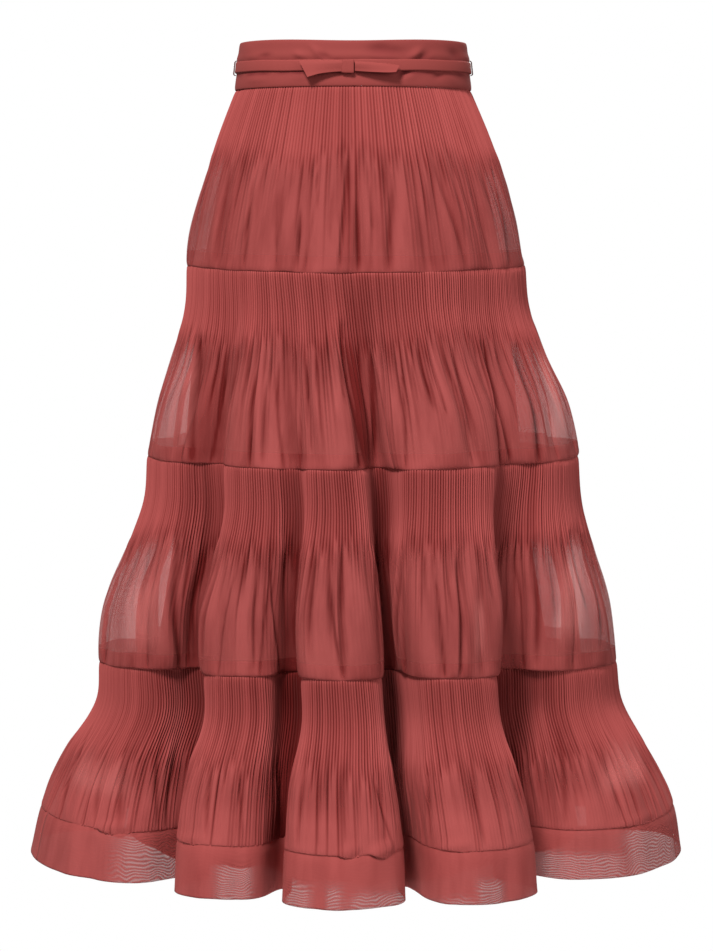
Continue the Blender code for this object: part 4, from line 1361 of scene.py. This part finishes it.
def closed_sweep(name, loops, material, nodes=()):
    """A closed solid through a run of outlines of the same number of points, capped at both ends."""
    loops = np.array(loops)
    count, around = loops.shape[:2]
    faces = []
    for low in range(0, (count - 1) * around, around):
        high = low + around
        for step in range(around):
            after = (step + 1) % around
            faces.append((low + step, low + after, high + after, high + step))
    faces.append(tuple(reversed(range(around))))
    faces.append(tuple(range((count - 1) * around, count * around)))
    mesh = bpy.data.meshes.new(name)
    mesh.from_pydata(loops.reshape(-1, 3).tolist(), [], faces)
    bm = bmesh.new()
    bm.from_mesh(mesh)
    bmesh.ops.recalc_face_normals(bm, faces=bm.faces)
    bm.to_mesh(mesh)
    bm.free()
    shade_smooth(mesh)
    mesh.set_sharp_from_angle(angle=radians(50))
    fit_out(new_object(name, mesh), material, nodes)


def tube(name, path, radius, material, nodes=(), around=8):
    """A round thread along a path."""
    path = [Vector(point) for point in path]
    turns = [2 * pi * step / around for step in range(around)]
    loops = []
    for number, point in enumerate(path):
        along = path[min(number + 1, len(path) - 1)] - path[max(number - 1, 0)]
        side = along.cross(Vector((0, 1, 0))).normalized()
        up = along.cross(side).normalized()
        loops.append([tuple(point + radius * (cos(turn) * side + sin(turn) * up)) for turn in turns])
    closed_sweep(name, loops, material, nodes)


def strip_outline(rise_top, rise_foot, inner, outer):
    """The outline of a soft flat strip as rise and reach: up its outside and down its inside."""
    middle = (rise_top + rise_foot) / 2
    half = (rise_top - rise_foot) / 2
    face = [(-1.0, 0.45), (-0.93, 0.85), (-0.75, 1.0), (0, 0.94), (0.75, 1.0), (0.93, 0.85), (1.0, 0.45)]
    outside = [(middle + half * along, mix(inner, outer, reach)) for along, reach in face]
    inside = [(middle + half * along, inner) for along in (0.94, 0.5, -0.5, -0.94)]
    return outside + inside


def make_belt():
    for name, first, last, columns in (
        ("belt_front", -BELT_JOIN, BELT_JOIN, 176),
        ("belt_back", BELT_JOIN, 360 - BELT_JOIN, 184),
    ):
        loops = []
        for angle in np.radians(np.linspace(first, last, columns + 1)):
            drift = 0.006 * sin(3 * angle + 0.8) + 0.004 * sin(11 * angle)
            drift += SIDE_LIFT / BAND_HEIGHT * sin(angle) ** 2
            outline = strip_outline(BELT_TOP + drift, BELT_FOOT + drift, BELT_STAND_OFF, BELT_OUT)
            loops.append([band_point(angle, rise, out) for rise, out in outline])
        closed_sweep(f"{name}_strip", loops, belt_cloth, (name,))


# A section of a wing of the bow: its place across at its upper and lower edge, the heights of the two
# edges, and how far each edge stands off the belt.
WingSection = namedtuple("WingSection", "across_top across_foot top foot off_top off_foot")
BOW_WINGS = {
    "bow_left": rows_of(
        WingSection,
        (-0.0550, -0.0460, 0.0030, -0.0144, 0.0010, 0.0070),
        (-0.0470, -0.0420, 0.0030, -0.0132, 0.0014, 0.0066),
        (-0.0330, -0.0330, 0.0027, -0.0108, 0.0014, 0.0044),
        (-0.0200, -0.0200, 0.0026, -0.0092, 0.0008, 0.0018),
        (-0.0105, -0.0105, 0.0026, -0.0086, 0.0006, 0.0008),
    ),
    "bow_right": rows_of(
        WingSection,
        (0.0019, 0.0019, 0.0014, -0.0082, 0.0003, 0.0006),
        (0.0100, 0.0100, 0.0012, -0.0088, 0.0010, 0.0022),
        (0.0240, 0.0240, 0.0004, -0.0096, 0.0012, 0.0048),
        (0.0380, 0.0380, -0.0008, -0.0098, 0.0010, 0.0066),
        (0.0470, 0.0435, -0.0022, -0.0092, 0.0008, 0.0070),
    ),
}
WING_CLOTH = 0.0012
WING_ROLL = 0.0005
WING_BELLY = 0.0006

# The knot across its width: place, height of its top and foot, and how far it stands off the belt.
KnotSection = namedtuple("KnotSection", "across top foot off")
KNOT = rows_of(
    KnotSection,
    (-0.0116, 0.0028, -0.0094, 0.0020),
    (-0.0112, 0.0031, -0.0098, 0.0024),
    (-0.0098, 0.0033, -0.0100, 0.0027),
    (-0.0070, 0.0034, -0.0102, 0.0029),
    (-0.0058, 0.0033, -0.0102, 0.0026),
    (-0.0042, 0.0034, -0.0103, 0.0031),
    (-0.0010, 0.0035, -0.0104, 0.0034),
    (0.0006, 0.0034, -0.0102, 0.0031),
    (0.0010, 0.0030, -0.0098, 0.0020),
)


def belt_face(across):
    """Depth of the belt's outer face at a place across the front."""
    angle = np.arctan2(across, BAND_FOOT[1])
    return band_point(angle, BELT_FOOT, BELT_OUT + SEAM_GAP)[..., 1]


def soft_section(around, squareness_down, squareness_out):
    """Round a soft flat strip: how far down and how far out each point lies, both from 0 to 1."""
    turn = 2 * pi * np.arange(around) / around
    down = 0.5 - 0.5 * np.sign(np.cos(turn)) * np.abs(np.cos(turn)) ** squareness_down
    out = 0.5 + 0.5 * np.sign(np.sin(turn)) * np.abs(np.sin(turn)) ** squareness_out
    return down, out


def make_bow():
    down, out = soft_section(22, 0.6, 0.5)
    roll = WING_ROLL * np.sin(2 * pi * down) + WING_BELLY * np.sin(pi * down)
    for name, sections in BOW_WINGS.items():
        table = np.array(sections)
        loops = []
        for at in np.linspace(table[0, 0], table[-1, 0], 25):
            _, across_foot, top, foot, off_top, off_foot = read_smoothly(table[:, 0], table, at)
            across = mix(at, across_foot, down)
            off = mix(off_top, off_foot, down) + roll + WING_CLOTH * out
            loops.append(np.stack([across, belt_face(across) - off, mix(top, foot, down)], axis=1))
        closed_sweep(f"{name}_wing", loops, belt_cloth, (name,))


def make_knot():
    down, out = soft_section(28, 0.5, 0.45)
    loops = []
    for section in KNOT:
        across = np.full_like(down, section.across)
        depth = belt_face(across) - section.off * out
        loops.append(np.stack([across, depth, mix(section.top, section.foot, down)], axis=1))
    closed_sweep("bow_knot_wrap", loops, belt_cloth, ("bow_knot",))


LOOP_THREAD = 0.00038
LOOP_TWIST = 0.00034
LOOP_REACH = 0.0076
LOOP_STANDS = (0.0010, 0.0031)
LOOP_STEPS = 64
STEPS_PER_TWIST = 9


def make_belt_loops():
    """A twisted thread loop on each side seam, sewn to the band above and below the belt."""
    for name, angle in (("belt_loop_left", -pi / 2), ("belt_loop_right", pi / 2)):
        centre = []
        for swing in np.linspace(0, pi, LOOP_STEPS + 1):
            out = mix(*LOOP_STANDS, min(1.0, 1.7 * sin(swing)))
            rise = belt_rise(BELT_DROP - SIDE_LIFT - LOOP_REACH * cos(swing))
            centre.append(band_point(angle, rise, out))
        for strand in (0, 1):
            turn = 2 * pi * (np.arange(LOOP_STEPS + 1) / STEPS_PER_TWIST + strand / 2)
            twist = LOOP_TWIST * np.stack([np.cos(turn), np.sin(turn), 0 * turn], axis=1)
            nodes = (name,) if strand == 0 else ()
            tube(f"{name}_strand_{strand + 1}", centre + twist, LOOP_THREAD, loop_thread, nodes)


make_waistband()
make_belt()
make_bow()
make_knot()
make_belt_loops()

# ---------------------------------------------------------------- concealed zip

ZIP_TAPE_WIDTH = 0.022
ZIP_TAPE_THICK = 0.0006
ZIP_TAPE_CURL = 0.0008
ZIP_TAPE_GAP = 0.0008
ZIP_IN_BAND = -0.0031
ZIP_IN_CLOTH = -0.0038
ZIP_RISES = (0.95, 0.12)
ZIP_SHARES = (0.0, 0.15, 0.3, 0.5, 0.65)
COIL_PITCH = 0.0015
COIL_OFFSET = 0.0009
COIL_REACH = (0.0013, 0.0009)
COIL_THREAD = 0.0003
COIL_STEPS = 8
SLIDER_WIDTH = 0.0056
SLIDER_HEIGHT = 0.0080
SLIDER_THICK = 0.0020
SLIDER_TOP = 0.0220
SLIDER_ROUNDING = 0.0005
BARREL_RADIUS = 0.0010
PIVOT_BELOW_TOP = 0.0035
TAB_WIDTH = 0.0042
TAB_LENGTH = 0.0115
TAB_THICK = 0.0009
TAB_HOLE_RADIUS = 0.0010
TAB_ROUNDING = 0.0002
EAR_WIDTH = 0.0004
EAR_HEIGHT = 0.0024
EAR_BESIDE_BARREL = 0.0010
EAR_ROUNDING = 0.00015


def zip_line(count):
    """Points down the middle of the tape, from inside the waistband to below the hip."""
    points = [band_point(pi, rise, ZIP_IN_BAND) for rise in ZIP_RISES]
    for share in ZIP_SHARES:
        depth = cloth_in_plan(np.array([CENTRE_BACK]), 0, share)[1][0] + ZIP_IN_CLOTH
        points.append(np.array([0.0, depth, tier_top(0) - TIERS[0].height * share]))
    points = np.array(points)
    run = run_of(points)
    steps = np.linspace(0, run[-1], count)
    return np.stack([np.interp(steps, run, points[:, axis]) for axis in range(3)], axis=1), run[-1]


def tape_outline(side, depth, height):
    """The outline of half the tape, from its fold at the middle out to its curled edge and back."""
    fold, edge = side * ZIP_TAPE_GAP / 2, side * ZIP_TAPE_WIDTH / 2
    curls = ((0, 0), (0.5, 0.3), (1, 1))
    face = [(mix(fold, edge, along), depth - ZIP_TAPE_CURL * curl, height) for along, curl in curls]
    return face + [(across, y + ZIP_TAPE_THICK, height) for across, y, _ in reversed(face)]


def make_zip_tape():
    """Two halves of tape, each with its coil of teeth."""
    line, length = zip_line(48)
    coil_line, _ = zip_line(int(length / COIL_PITCH) * COIL_STEPS)
    for side, label in ((-1, "left"), (1, "right")):
        loops = [tape_outline(side, depth, height) for _, depth, height in line]
        closed_sweep(f"zip_tape_{label}", loops, zip_tape_cloth, ("zip_tape",))
    for side, label in ((-1, "left"), (1, "right")):
        turn = 2 * pi * np.arange(len(coil_line)) / COIL_STEPS + (pi if side > 0 else 0)
        across = side * COIL_OFFSET + COIL_REACH[0] * np.cos(turn)
        depth = coil_line[:, 1] - COIL_REACH[1] * (1.1 + np.sin(turn))
        path = np.stack([across, depth, coil_line[:, 2]], axis=1)
        tube(f"zip_coil_{label}", path, COIL_THREAD, zip_tape_cloth, around=5)


def rigid_block(name, centre, size, rounding):
    """A rectangular block with rounded edges."""
    bpy.ops.mesh.primitive_cube_add(size=1, location=centre)
    block = bpy.context.object
    block.name = name
    block.scale = size
    bpy.ops.object.transform_apply(location=True, rotation=False, scale=True)
    edges = block.modifiers.new("rounding", "BEVEL")
    edges.width = rounding
    edges.segments = 3
    apply_modifiers(block)
    return block


def rigid_rod(centre, radius, depth, turn):
    """A round rod, turned from upright by three angles."""
    bpy.ops.mesh.primitive_cylinder_add(
        vertices=32, radius=radius, depth=depth, location=centre, rotation=turn
    )
    rod = bpy.context.object
    bpy.ops.object.transform_apply(location=True, rotation=True, scale=True)
    rod.select_set(False)
    return rod


def combine(target, other, operation):
    change = target.modifiers.new("combine", "BOOLEAN")
    change.operation = operation
    change.object = other
    apply_modifiers(target)
    bpy.data.objects.remove(other, do_unlink=True)


def smooth_rigid(piece):
    bpy.context.view_layer.objects.active = piece
    piece.select_set(True)
    bpy.ops.object.shade_smooth_by_angle(angle=radians(35))
    piece.select_set(False)


def make_zip_slider(back, pivot):
    """The slider's body, with an ear on each side of the pull's barrel."""
    middle = (0, back + SLIDER_THICK / 2, SLIDER_TOP - SLIDER_HEIGHT / 2)
    size = (SLIDER_WIDTH, SLIDER_THICK, SLIDER_HEIGHT)
    slider = rigid_block("zip_slider_body", middle, size, SLIDER_ROUNDING)
    ear_size = (EAR_WIDTH, 2 * BARREL_RADIUS + EAR_BESIDE_BARREL, EAR_HEIGHT)
    for side in (-1, 1):
        across = side * (SLIDER_WIDTH - EAR_WIDTH) / 2
        ear_middle = (across, back + SLIDER_THICK + BARREL_RADIUS, pivot[2])
        combine(slider, rigid_block("ear", ear_middle, ear_size, EAR_ROUNDING), "UNION")
    smooth_rigid(slider)
    fit_out(slider, zip_paint, ("zip_slider",))


def make_zip_pull(pivot):
    """A flat tab with a round end and a hole, hung from a barrel."""
    along_x, along_y = (0, pi / 2, 0), (pi / 2, 0, 0)
    straight = TAB_LENGTH - TAB_WIDTH / 2
    plate_middle = (0, pivot[1], pivot[2] - straight / 2)
    foot = (0, pivot[1], pivot[2] - straight)
    tab = rigid_block("zip_pull_tab", plate_middle, (TAB_WIDTH, TAB_THICK, straight), TAB_ROUNDING)
    combine(tab, rigid_rod(foot, TAB_WIDTH / 2, TAB_THICK, along_y), "UNION")
    combine(tab, rigid_rod(foot, TAB_HOLE_RADIUS, 0.01, along_y), "DIFFERENCE")
    combine(tab, rigid_rod(pivot, BARREL_RADIUS, TAB_WIDTH, along_x), "UNION")
    smooth_rigid(tab)
    fit_out(tab, zip_paint, ("zip_pull",), body="zip_pull")


def make_zip():
    foot_rise = (SLIDER_TOP - SLIDER_HEIGHT) / BAND_HEIGHT + 0.5
    back = float(band_point(pi, foot_rise, SEAM_GAP)[1])
    pivot = (0, back + SLIDER_THICK + BARREL_RADIUS + SEAM_GAP, SLIDER_TOP - PIVOT_BELOW_TOP)
    make_zip_tape()
    make_zip_slider(back, pivot)
    make_zip_pull(pivot)


make_zip()

# ---------------------------------------------------------------- stage

FLOOR_TOP = -1.10
FLOOR_THICK = 0.02
FLOOR_RADIUS = 0.60
FLOOR_GREY = (0.88, 0.88, 0.88, 1)
WHITE = (1, 1, 1, 1)
ROOM_STRENGTH = 0.345
LAMPS_AIM = Vector((0, 0, -0.42))
Lamp = namedtuple("Lamp", "name place power size")
LAMPS = rows_of(
    Lamp,
    ("key", (-1.1, -2.5, 2.9), 216, 0.9),
    ("fill", (2.2, -2.4, 0.6), 28, 1.6),
    ("behind", (0.6, 3.2, 1.6), 110, 1.8),
)
CAMERA_DISTANCE = 3.2
CAMERA_TILT = radians(4.2)
CAMERA_TARGET = Vector((0.0035, 0, -0.4241))
CAMERA_LENS = 153.9


def make_floor():
    place = (0, 0, FLOOR_TOP - FLOOR_THICK / 2)
    bpy.ops.mesh.primitive_cylinder_add(
        vertices=128, radius=FLOOR_RADIUS, depth=FLOOR_THICK, location=place
    )
    floor = bpy.context.object
    floor.name = "floor"
    material, tree, surface = new_material("pale_floor")
    connect(tree, surface, {"Base Color": FLOOR_GREY, "Roughness": 0.9})
    floor.data.materials.append(material)


def make_room():
    """A soft white room, seen as plain white."""
    world = bpy.data.worlds.new("studio")
    world.use_nodes = True
    tree = world.node_tree
    room = tree.nodes["Background"]
    connect(tree, room, {"Color": WHITE, "Strength": ROOM_STRENGTH})
    backdrop = node(tree, "ShaderNodeBackground", {"Color": WHITE})
    seen = node(tree, "ShaderNodeLightPath").outputs["Is Camera Ray"]
    shaders = {"Fac": seen, 1: room.outputs["Background"], 2: backdrop.outputs["Background"]}
    either = node(tree, "ShaderNodeMixShader", shaders)
    connect(tree, tree.nodes["World Output"], {"Surface": either.outputs["Shader"]})
    bpy.context.scene.world = world


def make_lamps():
    """Soft lamps, the main one high on the left."""
    for name, place, power, size in LAMPS:
        light = bpy.data.lights.new(name, "AREA")
        light.energy = power
        light.size = size
        lamp = new_object(name, light)
        lamp.location = place
        lamp.rotation_euler = (LAMPS_AIM - Vector(place)).to_track_quat("-Z", "Y").to_euler()
    bpy.context.scene.view_settings.view_transform = "Standard"


def make_camera():
    lens = bpy.data.cameras.new("camera")
    lens.sensor_fit = "HORIZONTAL"
    lens.sensor_width = 36
    lens.lens = CAMERA_LENS
    camera = new_object("camera", lens)
    camera.location = CAMERA_TARGET + CAMERA_DISTANCE * Vector((0, -cos(CAMERA_TILT), sin(CAMERA_TILT)))
    camera.rotation_euler = (CAMERA_TARGET - camera.location).to_track_quat("-Z", "Y").to_euler()
    bpy.context.scene.camera = camera


make_floor()
make_room()
make_lamps()
make_camera()
